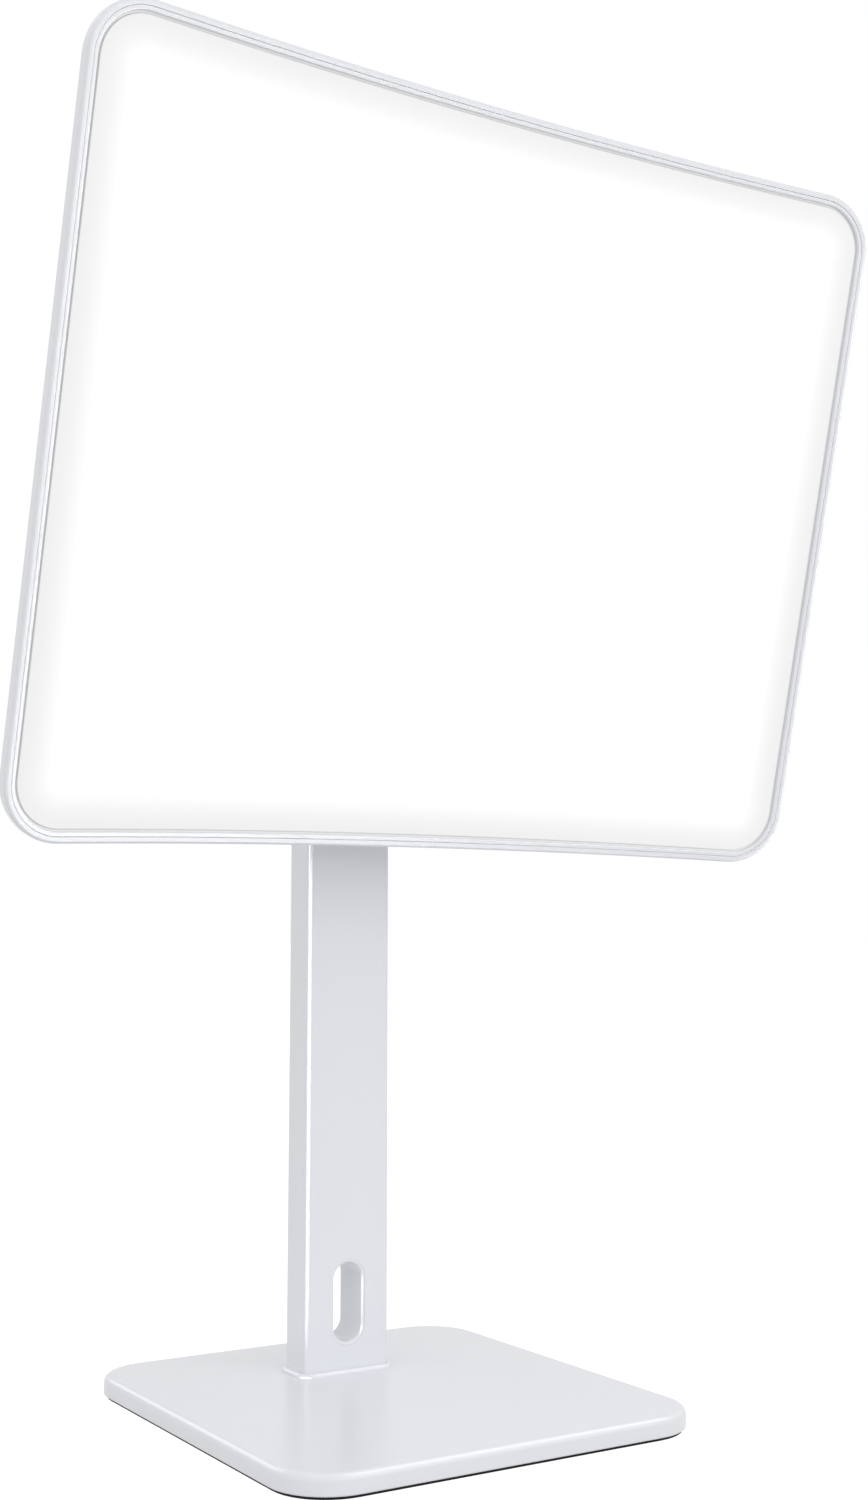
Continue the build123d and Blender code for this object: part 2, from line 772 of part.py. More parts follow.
# ================================================================ light panel: rear cover
hub_boss_spots = corners_of(hub_boss_offset, hub_boss_rise)
board_corner_spots = corners_of(board_width / 2 - board_screw_inset, board_height / 2 - board_screw_inset)
board_plane = front_at(board_offset, 0, head_thickness)
bracket_spots = corners_of(bracket_screw_offset, bracket_screw_rise)
cover_panel = inset_slab(cover_inside, head_thickness, flange_outside)
cover_rib = inset_slab(diffuser_back + pivot_fit, cover_inside, flange_outside)
cover_rib_hollow = inset_slab(-head_thickness, cover_inside, flange_outside + rib_thickness)
with BuildPart() as rear_cover:
    add(cover_rib)
    add(cover_rib_hollow, mode=Mode.SUBTRACT)
    for x_place, y_place, x_size, y_size in lug_spots:
        with BuildSketch(front_at(x_place, y_place, cover_inside + fit)):
            Rectangle(x_size + 2 * button_gap, y_size + 2 * button_gap)
        extrude(amount=cover_inside, mode=Mode.SUBTRACT)
    add(cover_panel)
    for x_place, y_place in hub_boss_spots:
        with BuildSketch(back_at(x_place, y_place, head_thickness - fit)):
            Circle(hub_boss_radius)
        extrude(amount=hub_inside - head_thickness)
    with BuildSketch(board_plane.offset(fit)):
        with Locations(*board_corner_spots):
            Circle(standoff_radius)
    extrude(amount=-(board_standoff + fit))
    for x_place, y_place, _, _ in lug_spots:
        with Locations(back_at(x_place, y_place, head_thickness + fit)):
            CounterSinkHole(
                small_screw_radius + fit, small_screw_head + 2 * fit, 2 * rear_cover_thickness, 90
            )
    for x_place, y_place in hub_boss_spots:
        with BuildSketch(back_at(x_place, y_place, cover_inside + fit)):
            Circle(small_screw_radius + fit)
        extrude(amount=hub_back, mode=Mode.SUBTRACT)
    for x_place, y_place in bracket_spots:
        with BuildSketch(front_at(x_place, y_place, hub_back)):
            Circle(medium_screw_radius + fit)
        extrude(amount=hub_back, mode=Mode.SUBTRACT)
    with BuildSketch(board_plane.offset(-board_standoff)):
        with Locations(*board_corner_spots):
            Circle(small_screw_radius + fit)
    extrude(amount=board_standoff, mode=Mode.SUBTRACT)
    with BuildSketch(front_at(tail_offset, tail_end - connector_height / 2, hub_back)):
        Rectangle(connector_width + 2 * loose, connector_height + 2 * loose)
    extrude(amount=hub_back, mode=Mode.SUBTRACT)
save(rear_cover.part, "rear_cover")

frame_screw_length = head_thickness - lug_back + lug_thickness
frame_screw = countersunk_screw(small_screw_head, small_screw_radius, frame_screw_length)
with BuildPart() as frame_screws:
    for x_place, y_place, _, _ in lug_spots:
        with Locations(back_at(x_place, y_place, head_thickness)):
            add(frame_screw)
save(frame_screws.part, "frame_screws")

# ================================================================ light engine
board_offsets = [(place - (led_board_count - 1) / 2) * led_board_pitch for place in range(led_board_count)]
with BuildPart() as led_boards:
    for offset_place in board_offsets:
        with BuildSketch(front_at(offset_place, 0, board_seat)):
            Rectangle(led_board_width, led_board_height)
        extrude(amount=led_board_thickness)
save(led_boards.part, "led_boards")

with BuildPart() as leds:
    for offset_place in board_offsets:
        with BuildSketch(front_at(offset_place, 0, led_seat)):
            with GridLocations(led_width, led_pitch, 1, led_count):
                Rectangle(led_width, led_height)
        extrude(amount=led_thickness)
save(leds.part, "leds")

reflector_slab = curved_slab(
    reflector_back - reflector_thickness,
    reflector_back,
    head_width - 2 * reflector_side_inset,
    head_height - 2 * reflector_end_inset,
    reflector_corner_radius,
)
with BuildPart() as reflector_sheet:
    add(reflector_slab)
    for offset_place in board_offsets:
        with BuildSketch(front_at(offset_place, 0, cover_inside)):
            Rectangle(
                led_width + 2 * reflector_slot_side_margin,
                (led_count - 1) * led_pitch + led_height + 2 * reflector_slot_end_margin,
            )
        extrude(amount=cover_inside, mode=Mode.SUBTRACT)
save(reflector_sheet.part, "reflector_sheet")

bus_rise = -(led_board_height / 2 + bus_gap + bus_width / 2)
bus_slab = curved_slab(
    board_seat - bus_thickness, board_seat, bus_length, 2 * abs(bus_rise) + bus_width, bus_width / 4
)
with BuildPart() as bus_flex:
    add(bus_slab)
    with BuildSketch(panel_face.offset(head_pivot_depth)):
        with Locations((0, bus_rise)):
            Rectangle(bus_length, bus_width)
        with Locations((tail_offset, (bus_rise + tail_end) / 2)):
            Rectangle(tail_width, tail_end - bus_rise)
    extrude(amount=-2 * head_pivot_depth, mode=Mode.INTERSECT)
save(bus_flex.part, "bus_flex")

with BuildPart() as led_connector:
    with BuildSketch(front_at(tail_offset, tail_end - connector_height / 2, board_front - pivot_fit)):
        Rectangle(connector_width, connector_height)
    extrude(amount=board_front - board_seat - 2 * pivot_fit)
save(led_connector.part, "led_connector")

# ================================================================ hinge bracket on the panel's back
backing_slab = curved_slab(
    cover_inside - backing_thickness, cover_inside, backing_width, bracket_height, bracket_corner_radius / 2
)
with BuildPart() as backing_plate:
    add(backing_slab)
    for x_place, y_place in bracket_spots:
        with BuildSketch(front_at(x_place, y_place, hub_back)):
            Circle(medium_screw_radius + fit)
        extrude(amount=hub_back, mode=Mode.SUBTRACT)
save(backing_plate.part, "backing_plate")

bracket_slab = curved_slab(
    head_thickness, bracket_back, bracket_width, bracket_height, bracket_corner_radius
)
bracket_ears = clevis_ears(*hinges["head"])
with BuildPart() as head_bracket:
    add(bracket_slab)
    add(bracket_ears)
    for x_place, y_place in bracket_spots:
        with Locations(back_at(x_place, y_place, bracket_back)):
            CounterSinkHole(medium_screw_radius + fit, medium_screw_head + fit, 2 * bracket_thickness, 90)
save(head_bracket.part, "head_bracket")

bracket_screw = countersunk_screw(
    medium_screw_head, medium_screw_radius, bracket_back - cover_inside + backing_thickness
)
with BuildPart() as bracket_screws:
    for x_place, y_place in bracket_spots:
        with Locations(back_at(x_place, y_place, bracket_back)):
            add(bracket_screw)
save(bracket_screws.part, "bracket_screws")

# ================================================================ hub cover, control board and inlet
button_rises = {"power_button": power_button_rise, "brightness_button": brightness_button_rise}
jack_bottom = hub_height / 2 - hub_wall - pivot_fit
jack_middle = board_back + jack_height / 2
jack_plane = Plane(
    origin=front_at(board_offset, -jack_bottom, jack_middle).origin,
    x_dir=front_at(board_offset, 0, 0).x_dir,
    z_dir=-panel_up,
)
hub_block = curved_slab(head_thickness, hub_back, hub_width, hub_height, hub_corner_radius)
hub_hollow = curved_slab(
    0, hub_inside, hub_width - 2 * hub_wall, hub_height - 2 * hub_wall, hub_corner_radius - hub_wall
)
with BuildPart() as hub_cover:
    add(hub_block)
    broad_faces = hub_cover.faces().sort_by(SortBy.AREA)[-2:].sort_by(Axis(panel_centre, panel_front))
    fillet(broad_faces[0].edges(), hub_edge_radius)
    add(hub_hollow, mode=Mode.SUBTRACT)
    for side in (-1, 1):
        with BuildSketch(panel_face.offset(-hub_back - hub_depth)):
            with Locations((side * (clevis_half_gap + ear_thickness / 2), 0)):
                Rectangle(ear_thickness + 2 * button_gap, 2 * (ear_radius + button_gap))
        extrude(amount=2 * hub_depth, mode=Mode.SUBTRACT)
    for button_rise in button_rises.values():
        with BuildSketch(front_at(board_offset, button_rise, hub_back + hub_wall)):
            Circle(button_radius + button_gap)
        extrude(amount=2 * hub_wall + fit, mode=Mode.SUBTRACT)
    for x_place, y_place in hub_boss_spots:
        with Locations(back_at(x_place, y_place, hub_back)):
            CounterSinkHole(small_screw_radius + fit, small_screw_head + fit, 2 * hub_wall, 90)
    with BuildSketch(jack_plane):
        Circle(jack_nose_radius + loose)
    extrude(amount=2 * hub_wall, mode=Mode.SUBTRACT)
save(hub_cover.part, "hub_cover")

hub_screw = countersunk_screw(small_screw_head, small_screw_radius, hub_depth - fit)
with BuildPart() as hub_screws:
    for x_place, y_place in hub_boss_spots:
        with Locations(back_at(x_place, y_place, hub_back)):
            add(hub_screw)
save(hub_screws.part, "hub_screws")

with BuildPart() as control_board:
    with BuildSketch(board_plane.offset(-board_standoff)):
        Rectangle(board_width, board_height)
        with Locations(*board_corner_spots):
            Circle(small_screw_radius + fit, mode=Mode.SUBTRACT)
    extrude(amount=-board_thickness)
save(control_board.part, "control_board")

board_screw = pan_screw(
    standoff_radius, standoff_radius / 2, small_screw_radius, board_thickness + board_standoff
)
with BuildPart() as board_screws:
    for x_place, y_place in board_corner_spots:
        seat = board_plane.offset(-board_standoff - board_thickness)
        seat_origin = seat.from_local_coords((x_place, y_place, 0))
        with Locations(Plane(origin=seat_origin, x_dir=-seat.x_dir, z_dir=-seat.z_dir)):
            add(board_screw)
save(board_screws.part, "board_screws")

parts_plane = board_plane.offset(-board_standoff - board_thickness)
with BuildPart() as board_components:
    with BuildSketch(parts_plane):
        with Locations((-component_offset, inductor_rise)):
            Circle(inductor_radius)
    extrude(amount=-inductor_height)
    with BuildSketch(parts_plane):
        with Locations((component_offset, capacitor_rise)):
            with GridLocations(capacitor_pitch, capacitor_pitch, 1, 2):
                Circle(capacitor_radius)
    extrude(amount=-capacitor_height)
    with BuildSketch(parts_plane):
        with Locations((-component_offset, chip_rise)):
            Rectangle(processor_width, processor_length)
        with Locations((component_offset, chip_rise)):
            Rectangle(driver_size, driver_size)
    extrude(amount=-chip_height)
save(board_components.part, "board_components")

with BuildPart() as tact_switches:
    with BuildSketch(parts_plane):
        with Locations(*[(0, button_rise) for button_rise in button_rises.values()]):
            Rectangle(switch_width, switch_width)
    extrude(amount=-switch_height)
    with BuildSketch(parts_plane.offset(-switch_height)):
        with Locations(*[(0, button_rise) for button_rise in button_rises.values()]):
            Circle(switch_bore_radius)
    extrude(amount=switch_bore_depth, mode=Mode.SUBTRACT)
save(tact_switches.part, "tact_switches")

with BuildPart() as dc_jack:
    with BuildSketch(jack_plane):
        Rectangle(jack_width, jack_height)
    extrude(amount=-jack_length)
    with BuildSketch(jack_plane):
        Circle(jack_nose_radius)
    extrude(amount=hub_wall + pivot_fit)
    with BuildSketch(jack_plane.offset(hub_wall + pivot_fit)):
        Circle(jack_bore_radius)
        Circle(jack_pin_radius, mode=Mode.SUBTRACT)
    extrude(amount=-jack_bore_depth, mode=Mode.SUBTRACT)
    with BuildSketch(jack_plane.offset(hub_wall + pivot_fit)):
        Circle(jack_pin_radius)
    extrude(amount=-(jack_bore_depth - jack_pin_length), mode=Mode.SUBTRACT)
save(dc_jack.part, "dc_jack")

# ================================================================ push buttons
flange_back = hub_inside - button_gap
flange_front = flange_back - button_flange_thickness
for button_name, button_rise in button_rises.items():
    with BuildPart() as button:
        with BuildSketch(front_at(board_offset, button_rise, hub_back + button_proud)):
            Circle(button_radius)
        extrude(amount=hub_wall + button_proud + button_gap)
        cap_rim = button.edges().sort_by(Axis(panel_centre, panel_front))[0]
        fillet(cap_rim, button_edge_radius)
        with BuildSketch(front_at(board_offset, button_rise, flange_back)):
            Circle(button_radius + button_flange_width)
        extrude(amount=button_flange_thickness)
        with BuildSketch(front_at(board_offset, button_rise, flange_front)):
            Circle(button_stem_radius)
        extrude(amount=flange_front - switch_top + stem_entry)
    save(button.part, button_name)
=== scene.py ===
"""Dress a light therapy lamp: smooth moulded surfaces, a finish for every part, a camera and a studio.

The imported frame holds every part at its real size. The mouldings that show most are worked out again here
as parametric surfaces on numpy grids, from the frame's boxes and joints. Everything else keeps its solid and
gets a procedural finish. Blender works in metres, and the fields of the classes are in millimetres.
"""

import json
import logging
from dataclasses import dataclass, field
from enum import Enum
from math import radians
from typing import Protocol

import bmesh
import bpy
import numpy as np
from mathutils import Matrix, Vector


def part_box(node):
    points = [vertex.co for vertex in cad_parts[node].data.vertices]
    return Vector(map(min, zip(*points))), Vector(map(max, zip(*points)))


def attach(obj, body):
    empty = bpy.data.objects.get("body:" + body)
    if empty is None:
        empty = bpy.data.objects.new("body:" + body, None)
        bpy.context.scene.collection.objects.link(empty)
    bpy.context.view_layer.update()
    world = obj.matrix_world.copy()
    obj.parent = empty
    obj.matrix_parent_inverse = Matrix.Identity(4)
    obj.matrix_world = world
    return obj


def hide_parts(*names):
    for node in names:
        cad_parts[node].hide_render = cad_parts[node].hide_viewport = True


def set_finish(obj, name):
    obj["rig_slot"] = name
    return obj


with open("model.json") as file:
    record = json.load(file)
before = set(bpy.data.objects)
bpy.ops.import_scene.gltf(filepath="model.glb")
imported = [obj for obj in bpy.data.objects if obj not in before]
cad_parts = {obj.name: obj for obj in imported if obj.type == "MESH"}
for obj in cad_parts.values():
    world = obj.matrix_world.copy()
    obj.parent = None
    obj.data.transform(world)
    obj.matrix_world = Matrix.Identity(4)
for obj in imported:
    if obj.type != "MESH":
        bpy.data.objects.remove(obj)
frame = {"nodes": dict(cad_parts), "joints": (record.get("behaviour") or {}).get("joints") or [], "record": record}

MM = 0.001
MERGE_DISTANCE = 1e-6
SHARP_ANGLE = radians(35)
LOG = logging.getLogger("lamp")
ACROSS = np.array([1.0, 0.0, 0.0])
WHITE = "FFFFFF"
# A Mix node names its sockets alike for every kind of data, so those of its colours go by number.
MIX_SHARE, MIX_FIRST, MIX_SECOND, MIX_RESULT = 0, 6, 7, 2


# ---------- measuring
def box_mm(node: str) -> tuple[np.ndarray, np.ndarray]:
    """Return a node's lowest and highest corner at rest.

    Args:
        node: name of a node of the frame.

    Returns:
        The two corners in millimetres.
    """
    low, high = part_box(node)
    return np.array(low) / MM, np.array(high) / MM


def joint_mm(name: str) -> np.ndarray:
    """Return a hinge's point on its axis, in millimetres.

    Args:
        name: name of a hinge in the frame.

    Returns:
        The point as three numbers.
    """
    joint = next(joint for joint in frame["joints"] if joint["name"] == name)
    return np.array(joint["pos_m"]) / MM


# ---------- surfaces
@dataclass(frozen=True)
class RoundedRectangle:
    """Outline with round corners, split into columns along its top and bottom and rows along its sides.

    An inset outline keeps the same columns and rows, so outlines of different insets join into clean
    quads, and a sheet of columns and rows closes the middle of any of them.
    """

    width: float
    height: float
    corner: float
    arc_steps: int = 8
    column_steps: int = 12
    row_steps: int = 8

    def top_edge(self) -> tuple[np.ndarray, np.ndarray]:
        """Work out the top edge with both its corners, from right to left.

        Formula: a quarter circle about each upper corner's centre, with evenly spaced columns between.

        Returns:
            The points and their outward normals.
        """
        half_width = self.width / 2 - self.corner
        rise = self.height / 2 - self.corner
        angle = np.linspace(0, np.pi / 2, self.arc_steps + 1)
        right = np.stack([np.cos(angle), np.sin(angle)], axis=1)
        left = np.stack([-np.sin(angle), np.cos(angle)], axis=1)
        columns = np.linspace(half_width, -half_width, self.column_steps + 1)[1:-1]
        straight = np.stack([np.zeros_like(columns), np.ones_like(columns)], axis=1)
        normals = np.concatenate([right, straight, left])
        centres = np.concatenate([np.full(len(right), half_width), columns, np.full(len(left), -half_width)])
        middles = np.stack([centres, np.full(len(centres), rise)], axis=1)
        return middles + self.corner * normals, normals

    def loop(self) -> tuple[np.ndarray, np.ndarray]:
        """Work out the whole outline, counter-clockwise from the top of its right side.

        Formula: the top edge and the left side's rows, then both again, turned by half a turn.

        Returns:
            The points and their outward normals.
        """
        top, top_normals = self.top_edge()
        share = np.linspace(1, -1, self.row_steps + 1)[1:-1]
        side = np.stack([np.full(len(share), -self.width / 2), share * top[-1, 1]], axis=1)
        side_normals = np.tile([-1.0, 0.0], (len(share), 1))
        points = np.concatenate([top, side])
        normals = np.concatenate([top_normals, side_normals])
        return np.concatenate([points, -points]), np.concatenate([normals, -normals])

    def rings(self, profile: np.ndarray) -> np.ndarray:
        """Carry a profile round the outline.

        Formula: each profile point moves the outline inwards along its normals by the point's inset and
        takes the point's level as the third coordinate.

        Args:
            profile: rows of inset and level.

        Returns:
            Grid of points, one row for each profile point and one column for each outline point.
        """
        points, normals = self.loop()
        flat = points[None] - profile[:, :1, None] * normals[None]
        levels = np.broadcast_to(profile[:, 1, None, None], flat.shape[:2] + (1,))
        return np.concatenate([flat, levels], axis=2)

    def sheet(self, inset: float, level: float) -> np.ndarray:
        """Close the inside of an inset outline.

        Formula: every point of the inset top edge is carried straight down to its mirror point, row by row.

        Args:
            inset: distance of the sheet's edge inside the outline.
            level: third coordinate of every point.

        Returns:
            Grid of points, one row for each row of the outline.
        """
        top, normals = self.top_edge()
        edge = top - inset * normals
        share = np.linspace(1, -1, self.row_steps + 1)[:, None]
        across = np.broadcast_to(edge[None, :, 0], (len(share), len(edge)))
        return np.stack([across, share * edge[None, :, 1], np.full_like(across, level)], axis=2)


@dataclass(frozen=True)
class Bend:
    """One corner of a profile: its inset, its level and the radius that rounds it, 0 for a sharp one."""

    inset: float
    level: float
    radius: float = 0.0


def rounded_profile(bends: list[Bend], closed: bool, arc_steps: int = 6) -> np.ndarray:
    """Turn corners into a profile with tangent arcs.

    Formula: a corner of radius r between two runs that meet at twice the angle a starts its arc r / tan(a)
    before the corner, and the arc's centre lies r / sin(a) from the corner between the two runs.

    Args:
        bends: the corners in order.
        closed: whether the last corner joins the first.
        arc_steps: steps along each arc.

    Returns:
        Rows of inset and level.
    """
    corners = np.array([[bend.inset, bend.level] for bend in bends])
    rows: list[np.ndarray] = []
    for place, bend in enumerate(bends):
        ended = not closed and place in (0, len(bends) - 1)
        if bend.radius == 0 or ended:
            rows.append(corners[place][None])
            continue
        before = corners[place - 1] - corners[place]
        after = corners[(place + 1) % len(bends)] - corners[place]
        before = before / np.linalg.norm(before)
        after = after / np.linalg.norm(after)
        half_turn = np.arccos(np.clip(before @ after, -1, 1)) / 2
        middle = before + after
        centre = corners[place] + middle / np.linalg.norm(middle) * bend.radius / np.sin(half_turn)
        first = corners[place] + before * bend.radius / np.tan(half_turn) - centre
        last = corners[place] + after * bend.radius / np.tan(half_turn) - centre
        sweep = np.pi - 2 * half_turn
        share = np.linspace(0, 1, arc_steps + 1)[:, None]
        arc = np.sin((1 - share) * sweep) * first + np.sin(share * sweep) * last
        rows.append(centre + arc / np.sin(sweep))
    return np.concatenate(rows)


class Place(Protocol):
    """Something that puts a grid of outline coordinates and levels into the lamp's frame."""

    def points(self, grid: np.ndarray) -> np.ndarray:
        """Return the grid's points in the lamp's frame, in millimetres."""


@dataclass(frozen=True)
class UprightPlace:
    """Outline seen from above: its first axis is X, its second is Y and its level is Z."""

    centre: tuple[float, float]

    def points(self, grid: np.ndarray) -> np.ndarray:
        """Return the grid shifted to the centre."""
        return grid + np.array([*self.centre, 0.0])


@dataclass(frozen=True)
class PostFacePlace:
    """Outline seen from the front: its second axis is Z, and its level runs back from the post's face."""

    face: float
    middle: float

    def points(self, grid: np.ndarray) -> np.ndarray:
        """Return the grid stood up on the post's front face."""
        return np.stack([grid[..., 0], self.face + grid[..., 2], self.middle + grid[..., 1]], axis=-1)


@dataclass(frozen=True)
class PanelPlace:
    """Outline seen from the panel's front, on the hollow face of the panel.

    Formula: a point at depth d behind the face lies on a circle of radius R + d about an upright axis in
    front of the panel, so at x across it stands forward of the middle by R - sqrt((R + d)^2 - x^2).
    """

    tilt_degrees: float = 14.5
    pivot_depth: float = 30.5
    curve_radius: float = 1170.0

    def axes(self) -> tuple[np.ndarray, np.ndarray]:
        """Return the directions up along the panel and out of its front."""
        tilt = radians(self.tilt_degrees)
        return np.array([0, -np.sin(tilt), np.cos(tilt)]), np.array([0, -np.cos(tilt), -np.sin(tilt)])

    def centre(self) -> np.ndarray:
        """Return the middle of the panel's front surface."""
        return joint_mm("panel_tilt") + self.axes()[1] * self.pivot_depth

    def points(self, grid: np.ndarray) -> np.ndarray:
        """Lay a grid on the panel.

        Args:
            grid: rows and columns of two outline coordinates and a depth behind the face.

        Returns:
            The same points in the lamp's frame, in millimetres.
        """
        up, front = self.axes()
        across, rise, depth = np.moveaxis(grid, -1, 0)
        forward = self.curve_radius - np.sqrt((self.curve_radius + depth) ** 2 - across**2)
        return self.centre() + across[..., None] * ACROSS + rise[..., None] * up + forward[..., None] * front


class Surface:
    """Collects grids of quads and joins them into one closed mesh."""

    def __init__(self, place: Place) -> None:
        """Start an empty surface.

        Args:
            place: puts each grid into the lamp's frame.
        """
        self.place = place
        self.points: list[np.ndarray] = []
        self.quads: list[np.ndarray] = []
        self.count = 0

    def add(self, grid: np.ndarray, join_rows: bool = False, join_columns: bool = False) -> None:
        """Add a grid of points as quads.

        Args:
            grid: rows and columns of outline coordinates.
            join_rows: whether the last row joins the first.
            join_columns: whether the last column joins the first.
        """
        rows, columns = grid.shape[:2]
        index = np.arange(rows * columns).reshape(rows, columns) + self.count
        if join_rows:
            index = np.concatenate([index, index[:1]])
        if join_columns:
            index = np.concatenate([index, index[:, :1]], axis=1)
        corners = [index[:-1, :-1], index[1:, :-1], index[1:, 1:], index[:-1, 1:]]
        self.quads.append(np.stack(corners, axis=-1).reshape(-1, 4))
        self.points.append(self.place.points(grid).reshape(-1, 3))
        self.count += rows * columns

    def piece(self, name: str) -> bpy.types.Object:
        """Make the joined mesh, with its faces outwards and its edges smooth up to a moderate angle.

        Args:
            name: name of the new object.

        Returns:
            The object, at the origin, with its place in its mesh.
        """
        points = np.concatenate(self.points) * MM
        quads = np.concatenate(self.quads)
        mesh = bpy.data.meshes.new(name)
        mesh.vertices.add(len(points))
        mesh.vertices.foreach_set("co", points.ravel())
        mesh.loops.add(quads.size)
        mesh.loops.foreach_set("vertex_index", quads.ravel())
        mesh.polygons.add(len(quads))
        mesh.polygons.foreach_set("loop_start", np.arange(0, quads.size, 4))
        mesh.update(calc_edges=True)
        joined = bmesh.new()
        joined.from_mesh(mesh)
        bmesh.ops.remove_doubles(joined, verts=joined.verts, dist=MERGE_DISTANCE)
        bmesh.ops.dissolve_degenerate(joined, edges=joined.edges, dist=MERGE_DISTANCE)
        bmesh.ops.recalc_face_normals(joined, faces=joined.faces)
        joined.to_mesh(mesh)
        joined.free()
        mesh.shade_smooth()
        mesh.set_sharp_from_angle(angle=SHARP_ANGLE)
        piece = bpy.data.objects.new(name, mesh)
        bpy.context.scene.collection.objects.link(piece)
        even = piece.modifiers.new("even_normals", "WEIGHTED_NORMAL")
        even.keep_sharp = True
        return piece


def ring_surface(place: Place, grid: np.ndarray) -> Surface:
    """Close a profile on itself all round an outline.

    Args:
        place: puts the grid into the lamp's frame.
        grid: one row for each profile point and one column for each outline point.

    Returns:
        The closed surface.
    """
    surface = Surface(place)
    surface.add(grid, join_rows=True, join_columns=True)
    return surface


def tray_surface(
    place: Place, outline: RoundedRectangle, profile: np.ndarray, inset: float, levels: tuple[float, float]
) -> Surface:
    """Carry an open profile round an outline and close it with a sheet at each of its ends.

    Args:
        place: puts the grids into the lamp's frame.
        outline: the outline that the profile follows.
        profile: rows of inset and level, which start and end at the sheets' edges.
        inset: distance of the sheets' edges inside the outline.
        levels: level of each sheet.

    Returns:
        The closed surface.
    """
    surface = Surface(place)
    surface.add(outline.rings(profile), join_columns=True)
    for level in levels:
        surface.add(outline.sheet(inset, level))
    return surface


# ---------- finishes
def linear(code: str) -> tuple[float, float, float, float]:
    """Turn an sRGB hex colour into linear light.

    Formula: the sRGB curve, which is a straight line up to 0.04045 and a power of 2.4 above it.

    Args:
        code: colour as six hex digits.

    Returns:
        Red, green, blue and an alpha of 1.
    """
    level = np.array([int(code[place : place + 2], 16) for place in (0, 2, 4)]) / 255
    light = np.where(level <= 0.04045, level / 12.92, ((level + 0.055) / 1.055) ** 2.4)
    return (*map(float, light), 1.0)


def add_node(
    tree: bpy.types.NodeTree, kind: str, settings: dict | None = None, links: dict | None = None
) -> bpy.types.Node:
    """Add one node with its settings and its links.

    Args:
        tree: node tree of a material or the world.
        kind: Blender's name for the node type.
        settings: values by the name of a property or an input, or by the number of an input.
        links: for an input's name or number, the node that feeds it and that node's output.

    Returns:
        The new node.
    """
    node = tree.nodes.new(kind)
    for name, value in (settings or {}).items():
        if isinstance(name, str) and hasattr(node, name):
            setattr(node, name, value)
        else:
            node.inputs[name].default_value = value
    for name, (source, output) in (links or {}).items():
        tree.links.new(source.outputs[output], node.inputs[name])
    return node


def blank_material(name: str) -> tuple[bpy.types.Material, bpy.types.NodeTree, bpy.types.Node]:
    """Make a material that holds only object coordinates.

    Args:
        name: name of the material.

    Returns:
        The material, its node tree and the coordinate node.
    """
    material = bpy.data.materials.new(name)
    material.use_nodes = True
    tree = material.node_tree
    tree.nodes.clear()
    return material, tree, add_node(tree, "ShaderNodeTexCoord")


def per_metre(size_mm: float) -> float:
    """Work out a texture's scale.

    Args:
        size_mm: about how many millimetres one feature of the texture is across.

    Returns:
        The scale, in features per metre.
    """
    return 1 / (size_mm * MM)


@dataclass(frozen=True)
class Grained:
    """A solid surface with a fine grain in its relief and a slow drift in its colour.

    The grain is the moulding's eroded texture, the paint's orange peel or the metal's rolled skin. The
    drift is what melt flow, handling and dust leave on it.
    """

    name: str
    colour: str
    drift_colour: str
    roughness: float
    grain_mm: float
    grain_depth_mm: float
    drift_mm: float = 45.0
    roughness_swing: float = 0.05
    metallic: float = 0.0
    ior: float = 1.5
    coat: float = 0.0
    stretch: tuple[float, float, float] = (1.0, 1.0, 1.0)
    grain_detail: float = 3.0
    grain_harshness: float = 0.55
    drift_detail: float = 2.0

    def build(self) -> bpy.types.Material:
        """Make the material.

        Returns:
            The material.
        """
        material, tree, where = blank_material(self.name)
        stretched = add_node(
            tree, "ShaderNodeMapping", {"Scale": self.stretch}, {"Vector": (where, "Object")}
        )
        grain = add_node(
            tree,
            "ShaderNodeTexNoise",
            {
                "Scale": per_metre(self.grain_mm),
                "Detail": self.grain_detail,
                "Roughness": self.grain_harshness,
            },
            {"Vector": (stretched, "Vector")},
        )
        drift = add_node(
            tree,
            "ShaderNodeTexNoise",
            {"Scale": per_metre(self.drift_mm), "Detail": self.drift_detail},
            {"Vector": (where, "Object")},
        )
        colour = add_node(
            tree,
            "ShaderNodeMix",
            {"data_type": "RGBA", MIX_FIRST: linear(self.colour), MIX_SECOND: linear(self.drift_colour)},
            {MIX_SHARE: (drift, "Fac")},
        )
        rough = add_node(
            tree,
            "ShaderNodeMapRange",
            {
                "To Min": self.roughness - self.roughness_swing,
                "To Max": self.roughness + self.roughness_swing,
            },
            {"Value": (grain, "Fac")},
        )
        relief = add_node(
            tree, "ShaderNodeBump", {"Distance": self.grain_depth_mm * MM}, {"Height": (grain, "Fac")}
        )
        gloss = {"Metallic": self.metallic, "Coat Weight": self.coat}
        if self.metallic < 1:
            gloss["IOR"] = self.ior
        shader = add_node(
            tree,
            "ShaderNodeBsdfPrincipled",
            gloss,
            {
                "Base Color": (colour, MIX_RESULT),
                "Roughness": (rough, "Result"),
                "Normal": (relief, "Normal"),
            },
        )
        add_node(tree, "ShaderNodeOutputMaterial", links={"Surface": (shader, "BSDF")})
        return material


